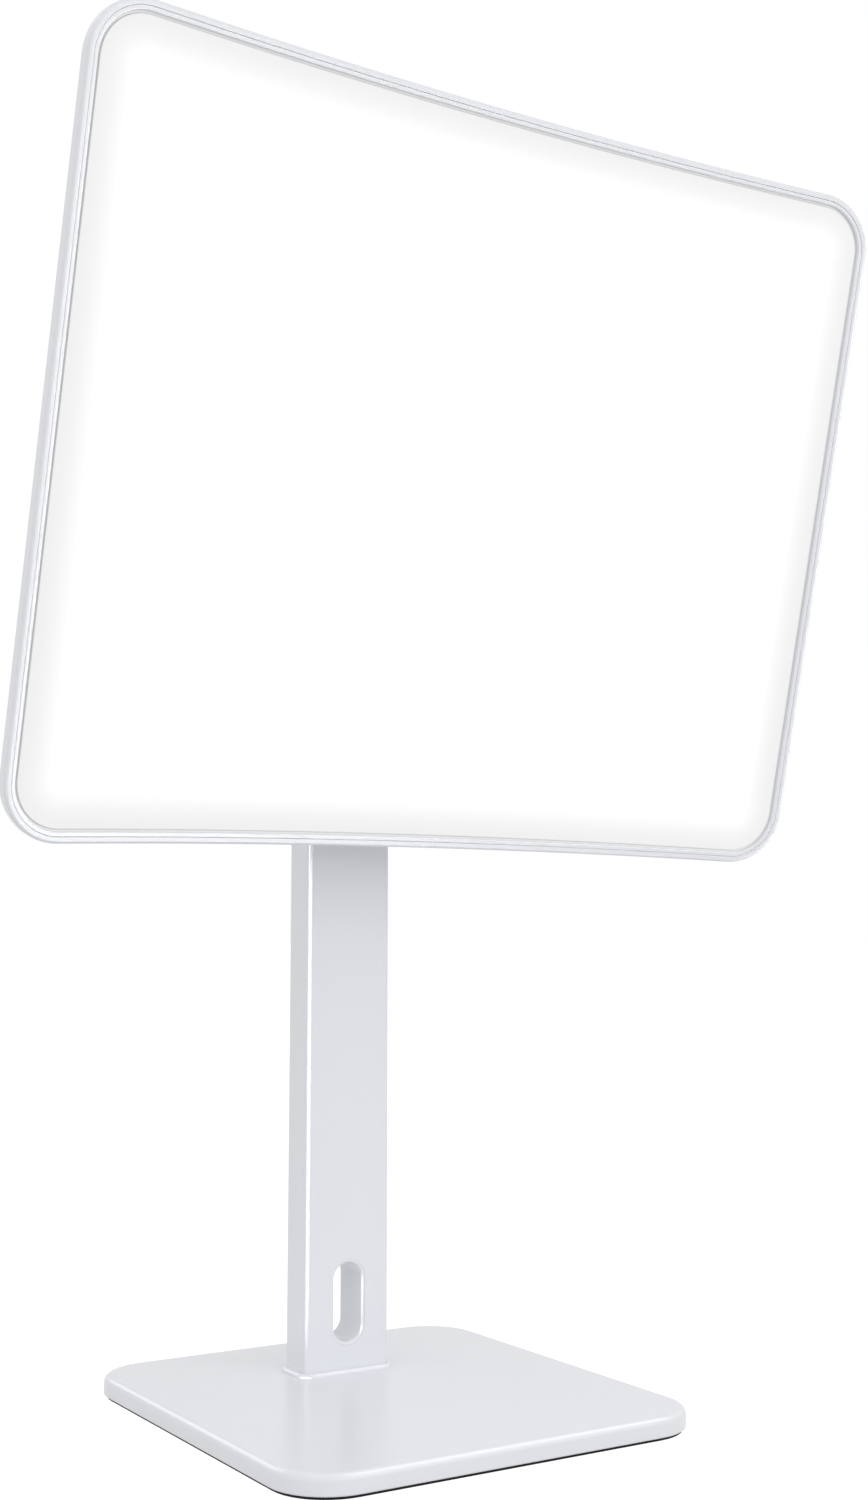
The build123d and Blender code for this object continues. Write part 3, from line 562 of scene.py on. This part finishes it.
@dataclass(frozen=True)
class FoamRubber:
    """Closed-cell foam rubber: black, dead matt, with cut cells as small pits, darker inside by painted shade."""

    name: str
    colour: str
    pit_shade_colour: str
    cell_mm: float
    cell_depth_mm: float
    roughness: float = 0.95

    def build(self) -> bpy.types.Material:
        """Make the material.

        Returns:
            The material.
        """
        material, tree, where = blank_material(self.name)
        cells = add_node(
            tree, "ShaderNodeTexVoronoi", {"Scale": per_metre(self.cell_mm)}, {"Vector": (where, "Object")}
        )
        # Painted shade: the colour darkens towards each pit's bottom, where the relief sinks deepest.
        colour = add_node(
            tree,
            "ShaderNodeMix",
            {"data_type": "RGBA", MIX_FIRST: linear(self.pit_shade_colour), MIX_SECOND: linear(self.colour)},
            {MIX_SHARE: (cells, "Distance")},
        )
        pits = add_node(
            tree, "ShaderNodeBump", {"Distance": self.cell_depth_mm * MM}, {"Height": (cells, "Distance")}
        )
        shader = add_node(
            tree,
            "ShaderNodeBsdfPrincipled",
            {"Roughness": self.roughness},
            {"Base Color": (colour, MIX_RESULT), "Normal": (pits, "Normal")},
        )
        add_node(tree, "ShaderNodeOutputMaterial", links={"Surface": (shader, "BSDF")})
        return material


@dataclass(frozen=True)
class LitOpal:
    """Opal acrylic sheet, lit from behind: its light fades towards the border, where no emitter stands.

    Formula: the colour of the light turns from the edge's to the full one along a smooth step, from the
    diffuser's border to the fade's width inside it. The sheet's raised side, right at the border, is drawn
    dim as painted shade, the shade of the groove beside the bead: within the rim's width the strength grows
    from the painted shade's share to full.
    """

    name: str
    colour: str
    edge_light: str
    full_light: str
    strength: float
    fade_mm: float
    border_mm: float
    rim_mm: float
    painted_rim_shade_share: float
    outline: RoundedRectangle
    place: PanelPlace
    roughness: float = 0.5
    ior: float = 1.49
    grain_mm: float = 0.6
    grain_depth_mm: float = 0.01

    def build(self) -> bpy.types.Material:
        """Make the material.

        Returns:
            The material.
        """
        material, tree, where = blank_material(self.name)
        reach = self.outward_reach(tree, where)
        edge = (self.outline.corner - self.border_mm) * MM
        share = add_node(
            tree,
            "ShaderNodeMapRange",
            {"interpolation_type": "SMOOTHSTEP", "From Min": edge, "From Max": edge - self.fade_mm * MM},
            {"Value": (reach, 0)},
        )
        # Painted shade: the strength drops near the border, so the raised side looks shaded by the groove.
        beyond = add_node(tree, "ShaderNodeMath", {"operation": "SUBTRACT", 1: edge}, {0: (reach, 0)})
        aside = add_node(tree, "ShaderNodeMath", {"operation": "ABSOLUTE"}, {0: (beyond, 0)})
        strength = add_node(
            tree,
            "ShaderNodeMapRange",
            {
                "From Max": self.rim_mm * MM,
                "To Min": self.strength * self.painted_rim_shade_share,
                "To Max": self.strength,
            },
            {"Value": (aside, 0)},
        )
        light = add_node(
            tree,
            "ShaderNodeMix",
            {"data_type": "RGBA", MIX_FIRST: linear(self.edge_light), MIX_SECOND: linear(self.full_light)},
            {MIX_SHARE: (share, "Result")},
        )
        grain = add_node(
            tree, "ShaderNodeTexNoise", {"Scale": per_metre(self.grain_mm)}, {"Vector": (where, "Object")}
        )
        relief = add_node(
            tree, "ShaderNodeBump", {"Distance": self.grain_depth_mm * MM}, {"Height": (grain, "Fac")}
        )
        shader = add_node(
            tree,
            "ShaderNodeBsdfPrincipled",
            {"Base Color": linear(self.colour), "Roughness": self.roughness, "IOR": self.ior},
            {
                "Emission Color": (light, MIX_RESULT),
                "Emission Strength": (strength, "Result"),
                "Normal": (relief, "Normal"),
            },
        )
        add_node(tree, "ShaderNodeOutputMaterial", links={"Surface": (shader, "BSDF")})
        return material

    def outward_reach(self, tree: bpy.types.NodeTree, where: bpy.types.Node) -> bpy.types.Node:
        """Add the nodes that measure how far out a place lies on the panel, in metres.

        Formula: the distance from the rectangle through the centres of the outline's corners. It is
        negative inside that rectangle, and it is the corner radius on the outline itself.

        Args:
            tree: the material's node tree.
            where: its coordinate node.

        Returns:
            The node whose output is the reach.
        """
        corner = self.outline.corner
        flat = add_node(
            tree,
            "ShaderNodeMapping",
            {
                "vector_type": "TEXTURE",
                "Location": tuple(self.place.centre() * MM),
                "Rotation": (radians(self.place.tilt_degrees), 0.0, 0.0),
            },
            {"Vector": (where, "Object")},
        )
        folded = add_node(tree, "ShaderNodeVectorMath", {"operation": "ABSOLUTE"}, {0: (flat, "Vector")})
        straight = ((self.outline.width / 2 - corner) * MM, 0.0, (self.outline.height / 2 - corner) * MM)
        beyond = add_node(
            tree, "ShaderNodeVectorMath", {"operation": "SUBTRACT", 1: straight}, {0: (folded, "Vector")}
        )
        split = add_node(tree, "ShaderNodeSeparateXYZ", links={"Vector": (beyond, "Vector")})
        outer = [
            add_node(tree, "ShaderNodeMath", {"operation": "MAXIMUM", 1: 0.0}, {0: (split, axis)})
            for axis in ("X", "Z")
        ]
        pair = add_node(tree, "ShaderNodeCombineXYZ", links={"X": (outer[0], 0), "Z": (outer[1], 0)})
        around = add_node(tree, "ShaderNodeVectorMath", {"operation": "LENGTH"}, {0: (pair, "Vector")})
        nearer = add_node(
            tree, "ShaderNodeMath", {"operation": "MAXIMUM"}, {0: (split, "X"), 1: (split, "Z")}
        )
        inner = add_node(tree, "ShaderNodeMath", {"operation": "MINIMUM", 1: 0.0}, {0: (nearer, 0)})
        return add_node(tree, "ShaderNodeMath", {"operation": "ADD"}, {0: (around, "Value"), 1: (inner, 0)})


# ---------- sub-assemblies
class Slot(Enum):
    """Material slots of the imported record."""

    SHELL = "white_shell"
    TRIM = "white_trim"
    COATED_METAL = "white_coated_metal"
    DIFFUSER = "opal_diffuser"
    ZINC = "zinc_plated_steel"
    BARE_STEEL = "bare_steel"
    CAST_ALUMINIUM = "cast_aluminium"
    LED_BOARD = "led_board"
    FOAM = "foam_pad"
    WASHER = "friction_washer"
    KEY_CAP = "key_cap"
    CIRCUIT_BOARD = "circuit_board"
    BLACK_PLASTIC = "black_plastic"
    REFLECTOR = "reflector"
    FLEX = "flex_circuit"
    LED_LENS = "led_lens"


@dataclass
class SubAssembly:
    """Pieces of the lamp that ride on one body of the frame."""

    body: str
    pieces: dict[str, bpy.types.Object] = field(default_factory=dict)

    def keep(self, surface: Surface, name: str, node: str, slot: Slot) -> None:
        """Turn a surface into a piece that stands for a node.

        Args:
            surface: the finished grids.
            name: name of the new piece.
            node: node of the frame that it stands for.
            slot: material slot that its finish comes from.
        """
        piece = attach(surface.piece(name), self.body)
        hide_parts(node)
        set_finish(piece, slot.value)
        self.pieces[name] = piece

    def dress(self, finishes: dict[Slot, bpy.types.Material]) -> None:
        """Give every piece the material of its slot and report it.

        Args:
            finishes: one material for each slot.
        """
        for name, piece in self.pieces.items():
            slot = Slot(piece["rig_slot"])
            piece.data.materials.clear()
            piece.data.materials.append(finishes[slot])
            LOG.info("%s on %s: %d faces, %s", name, self.body, len(piece.data.polygons), slot.value)


@dataclass
class Stand(SubAssembly):
    """The base and the trim of the post."""

    base_corner: float = 26.0
    base_edge: float = 3.0
    base_foot_edge: float = 0.9
    base_wall: float = 2.2
    base_top: float = 1.9
    pad_corner: float = 24.4
    pad_edge: float = 0.3
    collar_corner: float = 8.0
    collar_edge: float = 1.8
    collar_lap: float = 0.1
    collar_margin: float = 2.9
    post_corner: float = 2.6
    sleeve_wall: float = 1.6
    sleeve_mouth: float = 1.4
    sleeve_back_mouth: float = 0.5
    small_edge: float = 0.15
    sheet_inset: float = 4.5

    def build(self) -> None:
        """Build the base shell, its pad, the foot collar and the cable sleeve."""
        self.build_base_shell()
        self.build_pad()
        self.build_collar()
        self.build_sleeve()

    def build_base_shell(self) -> None:
        """Build the base's cover: an open-bottomed tray with a soft upper edge.

        Formula: the profile leads from the flat top over the edge, down the side and up the wall's inner
        face to the ceiling.
        """
        low, high = box_mm("base_cover")
        size = high - low
        outline = RoundedRectangle(*size[:2], self.base_corner, arc_steps=12, column_steps=20, row_steps=20)
        ceiling = high[2] - self.base_top
        profile = rounded_profile(
            [
                Bend(self.sheet_inset, high[2]),
                Bend(0, high[2], self.base_edge),
                Bend(0, low[2], self.base_foot_edge),
                Bend(self.base_wall, low[2], self.small_edge),
                Bend(self.base_wall, ceiling),
                Bend(self.sheet_inset, ceiling),
            ],
            closed=False,
            arc_steps=8,
        )
        place = UprightPlace((0.0, 0.0))
        surface = tray_surface(place, outline, profile, self.sheet_inset, (high[2], ceiling))
        self.keep(surface, "base_shell", "base_cover", Slot.SHELL)

    def build_pad(self) -> None:
        """Build the foam pad under the base.

        Formula: the profile leads from the pad's top round its thin side to its underside.
        """
        low, high = box_mm("base_pad")
        size = high - low
        outline = RoundedRectangle(*size[:2], self.pad_corner, arc_steps=10, column_steps=12, row_steps=12)
        profile = rounded_profile(
            [
                Bend(self.sheet_inset, high[2]),
                Bend(0, high[2], self.small_edge),
                Bend(0, low[2], self.pad_edge),
                Bend(self.sheet_inset, low[2]),
            ],
            closed=False,
            arc_steps=3,
        )
        place = UprightPlace((0.0, 0.0))
        surface = tray_surface(place, outline, profile, self.sheet_inset, (high[2], low[2]))
        self.keep(surface, "base_foam_pad", "base_pad", Slot.FOAM)

    def build_collar(self) -> None:
        """Build the soft-edged ring that covers the joint between the post and the base.

        Formula: the profile climbs the outer outline over its soft edge and goes down the post's outline.
        """
        low, high = box_mm("foot_collar")
        size = high - low
        outer = RoundedRectangle(*size[:2], self.collar_corner, column_steps=4, row_steps=4)
        across, along = size[:2] - 2 * self.collar_margin
        inner = RoundedRectangle(across, along, self.post_corner, column_steps=4, row_steps=4)
        skirt = [
            Bend(0, low[2]),
            Bend(0, high[2], self.collar_edge),
            Bend(self.collar_edge + self.collar_lap, high[2]),
        ]
        mouth = [Bend(0, high[2]), Bend(0, low[2])]
        grids = [
            outer.rings(rounded_profile(skirt, closed=False)),
            inner.rings(rounded_profile(mouth, closed=False)),
        ]
        middle = (low + high) / 2
        surface = ring_surface(UprightPlace((middle[0], middle[1])), np.concatenate(grids))
        self.keep(surface, "collar_ring", "foot_collar", Slot.SHELL)

    def build_sleeve(self) -> None:
        """Build the sleeve of the cable slot, with a rolled mouth at both ends.

        Formula: the profile is the wall's section, and the outline's ends are half circles.
        """
        low, high = box_mm("cable_slot_liner")
        size = high - low
        outline = RoundedRectangle(size[0], size[2], size[0] / 2, arc_steps=16, column_steps=1, row_steps=6)
        profile = rounded_profile(
            [
                Bend(0, 0, self.small_edge),
                Bend(self.sleeve_wall, 0, self.sleeve_mouth),
                Bend(self.sleeve_wall, size[1], self.sleeve_back_mouth),
                Bend(0, size[1], self.small_edge),
            ],
            closed=True,
            arc_steps=8,
        )
        place = PostFacePlace(low[1], (low[2] + high[2]) / 2)
        self.keep(ring_surface(place, outline.rings(profile)), "slot_sleeve", "cable_slot_liner", Slot.TRIM)


@dataclass
class LightPanel(SubAssembly):
    """The front of the light panel: its frame, the fine bead inside it and the opal diffuser."""

    place: PanelPlace = field(default_factory=PanelPlace)
    height: float = 327.0
    corner: float = 26.0
    thickness: float = 7.5
    frame_wall: float = 2.2
    frame_face: float = 2.9
    frame_face_thickness: float = 1.4
    front_edge: float = 1.4
    back_edge: float = 1.6
    inner_edge: float = 0.2
    small_edge: float = 0.15
    bead_gap: float = 0.02
    bead_width: float = 1.85
    bead_recess: float = 0.2
    bead_edge: float = 0.4
    bead_seat: float = 1.45
    bead_back: float = 2.4
    flange_inset: float = 2.4
    groove: float = 1.0
    diffuser_recess: float = 1.3
    diffuser_thickness: float = 1.4
    diffuser_seat: float = 2.45
    diffuser_edge: float = 0.5
    sheet_margin: float = 3.0

    @property
    def outline(self) -> RoundedRectangle:
        """Outline of the whole panel, seen from its front."""
        low, high = box_mm("front_frame")
        return RoundedRectangle(
            high[0] - low[0], self.height, self.corner, arc_steps=14, column_steps=40, row_steps=24
        )

    @property
    def bead_inset(self) -> float:
        """Distance of the bead's outer side inside the panel's outline."""
        return self.frame_face + self.bead_gap

    @property
    def diffuser_inset(self) -> float:
        """Distance of the diffuser's raised edge inside the panel's outline."""
        return self.bead_inset + self.bead_width + self.groove

    def build(self) -> None:
        """Build the frame, the bead and the diffuser."""
        self.build_frame()
        self.build_bead()
        self.build_diffuser()

    def build_frame(self) -> None:
        """Build the frame: a thin wall round the panel with a narrow face at its front.

        Formula: the profile is an L with soft edges, its short arm in front.
        """
        profile = rounded_profile(
            [
                Bend(0, 0, self.front_edge),
                Bend(self.frame_face, 0, self.inner_edge),
                Bend(self.frame_face, self.frame_face_thickness),
                Bend(self.frame_wall, self.frame_face_thickness),
                Bend(self.frame_wall, self.thickness, self.small_edge),
                Bend(0, self.thickness, self.back_edge),
            ],
            closed=True,
            arc_steps=8,
        )
        surface = ring_surface(self.place, self.outline.rings(profile))
        self.keep(surface, "panel_frame", "front_frame", Slot.SHELL)

    def build_bead(self) -> None:
        """Build the bead: a fine rounded rib with a flange that holds the diffuser.

        Formula: the profile is the rib's section, with the flange reaching outwards behind the frame.
        """
        inside = self.bead_inset + self.bead_width
        profile = rounded_profile(
            [
                Bend(self.bead_inset, self.bead_recess, self.bead_edge),
                Bend(inside, self.bead_recess, self.bead_edge),
                Bend(inside, self.bead_back),
                Bend(self.flange_inset, self.bead_back),
                Bend(self.flange_inset, self.bead_seat),
                Bend(self.bead_inset, self.bead_seat),
            ],
            closed=True,
        )
        surface = ring_surface(self.place, self.outline.rings(profile))
        self.keep(surface, "panel_bead", "diffuser_bead", Slot.TRIM)

    def build_diffuser(self) -> None:
        """Build the diffuser: a sheet whose middle stands proud of its thin edge.

        Formula: the profile leads from the raised middle over its edge, down and round the flange, and
        back under the middle.
        """
        seat = self.diffuser_seat
        back = seat + self.diffuser_thickness
        hollow = self.diffuser_recess + self.diffuser_thickness
        inside = self.diffuser_inset + self.diffuser_thickness
        sheet_inset = self.diffuser_inset + self.sheet_margin
        profile = rounded_profile(
            [
                Bend(sheet_inset, self.diffuser_recess),
                Bend(self.diffuser_inset, self.diffuser_recess, self.diffuser_edge),
                Bend(self.diffuser_inset, seat),
                Bend(self.flange_inset, seat),
                Bend(self.flange_inset, back),
                Bend(inside, back),
                Bend(inside, hollow),
                Bend(sheet_inset, hollow),
            ],
            closed=False,
        )
        levels = (self.diffuser_recess, hollow)
        surface = tray_surface(self.place, self.outline, profile, sheet_inset, levels)
        self.keep(surface, "panel_diffuser", "diffuser", Slot.DIFFUSER)


# ---------- finish chart
def finish_chart(panel: LightPanel) -> dict[Slot, Grained | FoamRubber | LitOpal]:
    """Choose a finish for every material slot.

    Args:
        panel: the light panel, whose outline the diffuser's light follows.

    Returns:
        One finish for each slot.
    """
    # A grained finish gives its name and two colours, then its gloss and the sizes of its patterns.
    return {
        # Injection-moulded ABS from a finely spark-eroded tool: an even sheen with soft reflections.
        # The real grain is 0.1 mm, too fine to show, so it is drawn at 0.5 mm.
        Slot.SHELL: Grained(
            "moulded_abs_satin", "E7E9ED", "E4E6EB",
            roughness=0.24, ior=1.53, grain_mm=0.5, grain_depth_mm=0.002,
        ),
        # The same ABS from a better polished tool: a slightly clearer highlight along its rounded edges.
        Slot.TRIM: Grained(
            "moulded_abs_gloss", "E9EBEE", "E6E8EC",
            roughness=0.2, ior=1.53, grain_mm=0.9, grain_depth_mm=0.002,
        ),
        # Powder coat: a closed film with a faint orange peel of about 1.5 mm.
        Slot.COATED_METAL: Grained(
            "powder_coat_white", "E7E9ED", "E4E6EB",
            roughness=0.24, ior=1.5, grain_mm=1.5, grain_depth_mm=0.004,
        ),
        # Opal acrylic over LED boards: an even white that dims towards its border.
        Slot.DIFFUSER: LitOpal(
            "opal_acrylic_lit",
            colour="B8B8B8",
            edge_light="C4C4C4",
            full_light="FFFFFF",
            strength=0.78,
            fade_mm=34.0,
            border_mm=panel.diffuser_inset,
            # The dim rim is painted shade in the groove beside the bead.
            rim_mm=0.45,
            painted_rim_shade_share=0.3,
            outline=panel.outline,
            place=panel.place,
        ),
        # Bright zinc plating: a pale grey metal with a slightly hazy shine.
        Slot.ZINC: Grained(
            "zinc_plating", "C6CACD", "B4B9BE",
            roughness=0.32, roughness_swing=0.08, metallic=1.0,
            grain_mm=0.4, grain_depth_mm=0.004, drift_mm=6.0,
        ),
        # Blanked steel plate with an oiled mill skin: dark, streaked along the rolling direction.
        Slot.BARE_STEEL: Grained(
            "mill_steel", "6E7174", "55585B",
            roughness=0.5, roughness_swing=0.1, metallic=1.0,
            grain_mm=1.2, grain_depth_mm=0.01, drift_mm=12.0, stretch=(1.0, 0.12, 1.0),
        ),
        # Die-cast aluminium: light grey with a fine cast skin.
        Slot.CAST_ALUMINIUM: Grained(
            "die_cast_aluminium", "C9CBCC", "B8BABC",
            roughness=0.46, metallic=1.0, grain_mm=0.7, grain_depth_mm=0.02, drift_mm=9.0,
        ),
        # White solder mask on an aluminium board: glossy, and very slightly warm.
        Slot.LED_BOARD: Grained(
            "white_solder_mask", "ECECE8", "E6E6E2",
            roughness=0.3, coat=0.3, grain_mm=0.5, grain_depth_mm=0.003,
        ),
        # Closed-cell foam rubber with a cut face: black and dead matt, its pits darker inside by painted shade.
        Slot.FOAM: FoamRubber("foam_rubber_black", "1B1C1E", "0F1011", cell_mm=0.9, cell_depth_mm=0.12),
        # Filled acetal: dark grey and waxy.
        Slot.WASHER: Grained(
            "filled_acetal", "3A3C40", "303236",
            roughness=0.36, grain_mm=0.6, grain_depth_mm=0.004,
        ),
        # The keys are the shell's ABS with a coarser erosion: a little duller, for grip.
        Slot.KEY_CAP: Grained(
            "moulded_abs_key", "E4E7ED", "DFE2E9",
            roughness=0.34, ior=1.53, grain_mm=0.6, grain_depth_mm=0.004,
        ),
        # Green solder mask on glass-fibre laminate: glossy, and slightly uneven over the fibres.
        Slot.CIRCUIT_BOARD: Grained(
            "green_solder_mask", "1F6A3D", "1A5A34",
            roughness=0.25, coat=0.5, grain_mm=0.8, grain_depth_mm=0.008, drift_mm=5.0,
        ),
        # Glass-filled nylon: black, slightly mottled by its fibres.
        Slot.BLACK_PLASTIC: Grained(
            "glass_filled_nylon", "1C1D1F", "26272A",
            roughness=0.48, grain_mm=0.5, grain_depth_mm=0.012, drift_mm=4.0,
        ),
        # White reflector film: matt and bright.
        Slot.REFLECTOR: Grained(
            "reflector_film", "F0F1F2", "ECEDEF",
            roughness=0.7, grain_mm=1.0, grain_depth_mm=0.004,
        ),
        # Polyimide film over copper: amber and smooth.
        Slot.FLEX: Grained(
            "polyimide_film", "C98A2E", "B97B25",
            roughness=0.3, coat=0.3, grain_mm=1.0, grain_depth_mm=0.003, drift_mm=8.0,
        ),
        # Phosphor under clear silicone: yellow, with a wet shine.
        Slot.LED_LENS: Grained(
            "phosphor_silicone", "F2D45C", "E8C84E",
            roughness=0.2, ior=1.41, coat=0.6, grain_mm=0.4, grain_depth_mm=0.004, drift_mm=2.0,
        ),
    }


def dress_nodes(finishes: dict[Slot, bpy.types.Material]) -> None:
    """Give every node of the frame the material of its slot.

    Args:
        finishes: one material for each slot.
    """
    slots = {part["node"]: Slot(part["material_slot"]) for part in frame["record"]["subparts"]}
    for name, node in frame["nodes"].items():
        node.data.materials.clear()
        node.data.materials.append(finishes[slots[name]])
        LOG.info("node %s: %s", name, slots[name].value)


# ---------- studio
# Nodes and pieces that a sheet of light draws its highlights on.
POST_EDGES = ("post", "slot_sleeve", "collar_ring")
PANEL_RIM = ("panel_frame", "panel_bead")
BEAD_ONLY = ("panel_bead",)
BASE_EDGES = ("base_shell", "collar_ring")


@dataclass(frozen=True)
class Lamp:
    """One soft box: a rectangular area light that points at a spot.

    Formula: a face of radiance L and area A gives off a power of pi L A. A lamp with pieces to itself only
    draws highlights on them: it is flagged off everything else and adds nothing to the even light.
    """

    name: str
    place: tuple[float, float, float]
    target: tuple[float, float, float]
    width: float
    height: float
    radiance: float
    only: tuple[str, ...] = ()

    def build(self, objects: dict[str, bpy.types.Object]) -> None:
        """Hang the light, point it and flag it.

        Args:
            objects: every node and piece of the lamp by name.
        """
        light = bpy.data.lights.new(self.name, "AREA")
        light.shape = "RECTANGLE"
        light.size, light.size_y = self.width, self.height
        light.energy = np.pi * self.radiance * self.width * self.height
        box = bpy.data.objects.new(self.name, light)
        bpy.context.scene.collection.objects.link(box)
        box.visible_diffuse = not self.only
        if self.only:
            box.light_linking.receiver_collection = bpy.data.collections.new(self.name)
            for name in self.only:
                box.light_linking.receiver_collection.objects.link(objects[name])
        box.location = self.place
        box.rotation_euler = (Vector(self.target) - Vector(self.place)).to_track_quat("-Z", "Y").to_euler()


@dataclass(frozen=True)
class Studio:
    """Camera, soft light and a white floor that keeps a faint shadow. Lengths are in metres."""

    camera_place: tuple[float, float, float] = (-0.4346, -0.7320, 0.2116)
    heading_degrees: float = 32.17
    climb_degrees: float = 7.05
    focal_pixels: float = 1833.8
    frame_height_pixels: float = 1500.0
    horizon_offset_pixels: float = -44.1
    sensor_mm: float = 36.0
    floor_half: float = 30.0
    bright_side: tuple[float, float, float] = (-0.36, -0.64, -0.68)
    ambient_far: float = 0.64
    ambient_near: float = 1.33
    floor_colour: str = "DCDCDC"
    floor_glow: float = 1.25
    floor_glow_share: float = 0.8
    clip_near: float = 0.05
    clip_far: float = 100.0
    # Each lamp's name, place, target, width, height and radiance, and the pieces that it is kept to.
    lamps: tuple[Lamp, ...] = (
        Lamp("front_box", (0.9, -1.9, 0.9), (0.0, 0.0, 0.3), 1.2, 1.2, 1.2),
        Lamp("left_sheet", (-2.6, -1.5, 0.3), (0.0, 0.0, 0.3), 4.4, 2.6, 12.0, POST_EDGES),
        Lamp("right_sheet", (2.3, -1.9, -0.5), (0.0, 0.0, 0.4), 1.6, 2.6, 12.0, PANEL_RIM),
        Lamp("front_sheet", (1.5, -2.1, 2.0), (0.0, 0.0, 0.4), 1.2, 1.6, 5.0, BEAD_ONLY),
        Lamp("top_sheet", (1.1, -0.6, 1.9), (0.0, 0.0, 0.1), 1.5, 1.5, 3.0, BASE_EDGES),
        Lamp("back_sheet", (-0.7, 1.9, 1.35), (0.0, 0.0, 0.1), 1.5, 1.2, 1.8, BASE_EDGES),
    )

    def build(self, objects: dict[str, bpy.types.Object]) -> None:
        """Set the camera, the world, the lamps and the floor.

        Args:
            objects: every node and piece of the lamp by name.
        """
        self.set_camera()
        self.set_world()
        for lamp in self.lamps:
            lamp.build(objects)
        self.lay_floor()
        bpy.context.scene.view_settings.view_transform = "Standard"

    def set_camera(self) -> None:
        """Place the camera at the viewing angle."""
        heading, climb = radians(self.heading_degrees), radians(self.climb_degrees)
        forward = Vector((np.sin(heading) * np.cos(climb), np.cos(heading) * np.cos(climb), np.sin(climb)))
        lens = bpy.data.cameras.new("camera")
        lens.sensor_width = self.sensor_mm
        lens.lens = self.focal_pixels / self.frame_height_pixels * self.sensor_mm
        lens.shift_y = self.horizon_offset_pixels / self.frame_height_pixels
        lens.clip_start, lens.clip_end = self.clip_near, self.clip_far
        camera = bpy.data.objects.new("camera", lens)
        bpy.context.scene.collection.objects.link(camera)
        camera.location = self.camera_place
        camera.rotation_euler = forward.to_track_quat("-Z", "Y").to_euler()
        bpy.context.scene.camera = camera

    def seen_directly(self, tree: bpy.types.NodeTree) -> bpy.types.Node:
        """Add the nodes that are 1 for rays from the camera, off a glossy surface or through a clear one.

        Args:
            tree: node tree to add to.

        Returns:
            The node whose value is the answer.
        """
        path = add_node(tree, "ShaderNodeLightPath")
        clear = add_node(
            tree,
            "ShaderNodeMath",
            {"operation": "MAXIMUM"},
            {0: (path, "Is Camera Ray"), 1: (path, "Is Transmission Ray")},
        )
        return add_node(
            tree, "ShaderNodeMath", {"operation": "MAXIMUM"}, {0: (clear, 0), 1: (path, "Is Glossy Ray")}
        )

    def set_world(self) -> None:
        """Light the lamp from all round, most from its front, before a white background.

        Formula: the light from a direction grows evenly with its part along the bright side.
        """
        world = bpy.data.worlds.new("studio_world")
        bpy.context.scene.world = world
        world.use_nodes = True
        tree = world.node_tree
        tree.nodes.clear()
        where = add_node(tree, "ShaderNodeTexCoord")
        along = add_node(
            tree,
            "ShaderNodeVectorMath",
            {"operation": "DOT_PRODUCT", 1: self.bright_side},
            {0: (where, "Object")},
        )
        strength = add_node(
            tree,
            "ShaderNodeMapRange",
            {"From Min": -1.0, "To Min": self.ambient_far, "To Max": self.ambient_near},
            {"Value": (along, "Value")},
        )
        plain = {"Color": linear(WHITE)}
        ambient = add_node(tree, "ShaderNodeBackground", plain, {"Strength": (strength, "Result")})
        white = add_node(tree, "ShaderNodeBackground", {**plain, "Strength": 1.0})
        mix = add_node(
            tree,
            "ShaderNodeMixShader",
            links={0: (self.seen_directly(tree), 0), 1: (ambient, 0), 2: (white, 0)},
        )
        add_node(tree, "ShaderNodeOutputWorld", links={"Surface": (mix, 0)})

    def lay_floor(self) -> None:
        """Lay a floor that looks white, keeps part of the shadow and reflects as pale paper does."""
        corners = np.array([[-1, -1, 0], [1, -1, 0], [1, 1, 0], [-1, 1, 0]]) * self.floor_half
        mesh = bpy.data.meshes.new("floor")
        mesh.from_pydata(corners.tolist(), [], [[0, 1, 2, 3]])
        floor = bpy.data.objects.new("floor", mesh)
        bpy.context.scene.collection.objects.link(floor)
        material, tree, _ = blank_material("floor_paper")
        paper = add_node(tree, "ShaderNodeBsdfDiffuse", {"Color": linear(self.floor_colour)})
        glow = add_node(tree, "ShaderNodeEmission", {"Color": linear(WHITE), "Strength": self.floor_glow})
        share = add_node(
            tree,
            "ShaderNodeMath",
            {"operation": "MULTIPLY", 1: self.floor_glow_share},
            {0: (self.seen_directly(tree), 0)},
        )
        mix = add_node(tree, "ShaderNodeMixShader", links={0: (share, 0), 1: (paper, 0), 2: (glow, 0)})
        add_node(tree, "ShaderNodeOutputMaterial", links={"Surface": (mix, 0)})
        mesh.materials.append(material)
        floor.visible_glossy = False


def main() -> None:
    """Build the sub-assemblies in order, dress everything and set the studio."""
    logging.basicConfig(level=logging.INFO, format="%(name)s: %(message)s")
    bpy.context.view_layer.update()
    stand = Stand("stand")
    panel = LightPanel("panel")
    for part in (stand, panel):
        part.build()
    finishes = {slot: finish.build() for slot, finish in finish_chart(panel).items()}
    dress_nodes(finishes)
    for part in (stand, panel):
        part.dress(finishes)
    Studio().build({**frame["nodes"], **stand.pieces, **panel.pieces})


if __name__ == "__main__":
    main()
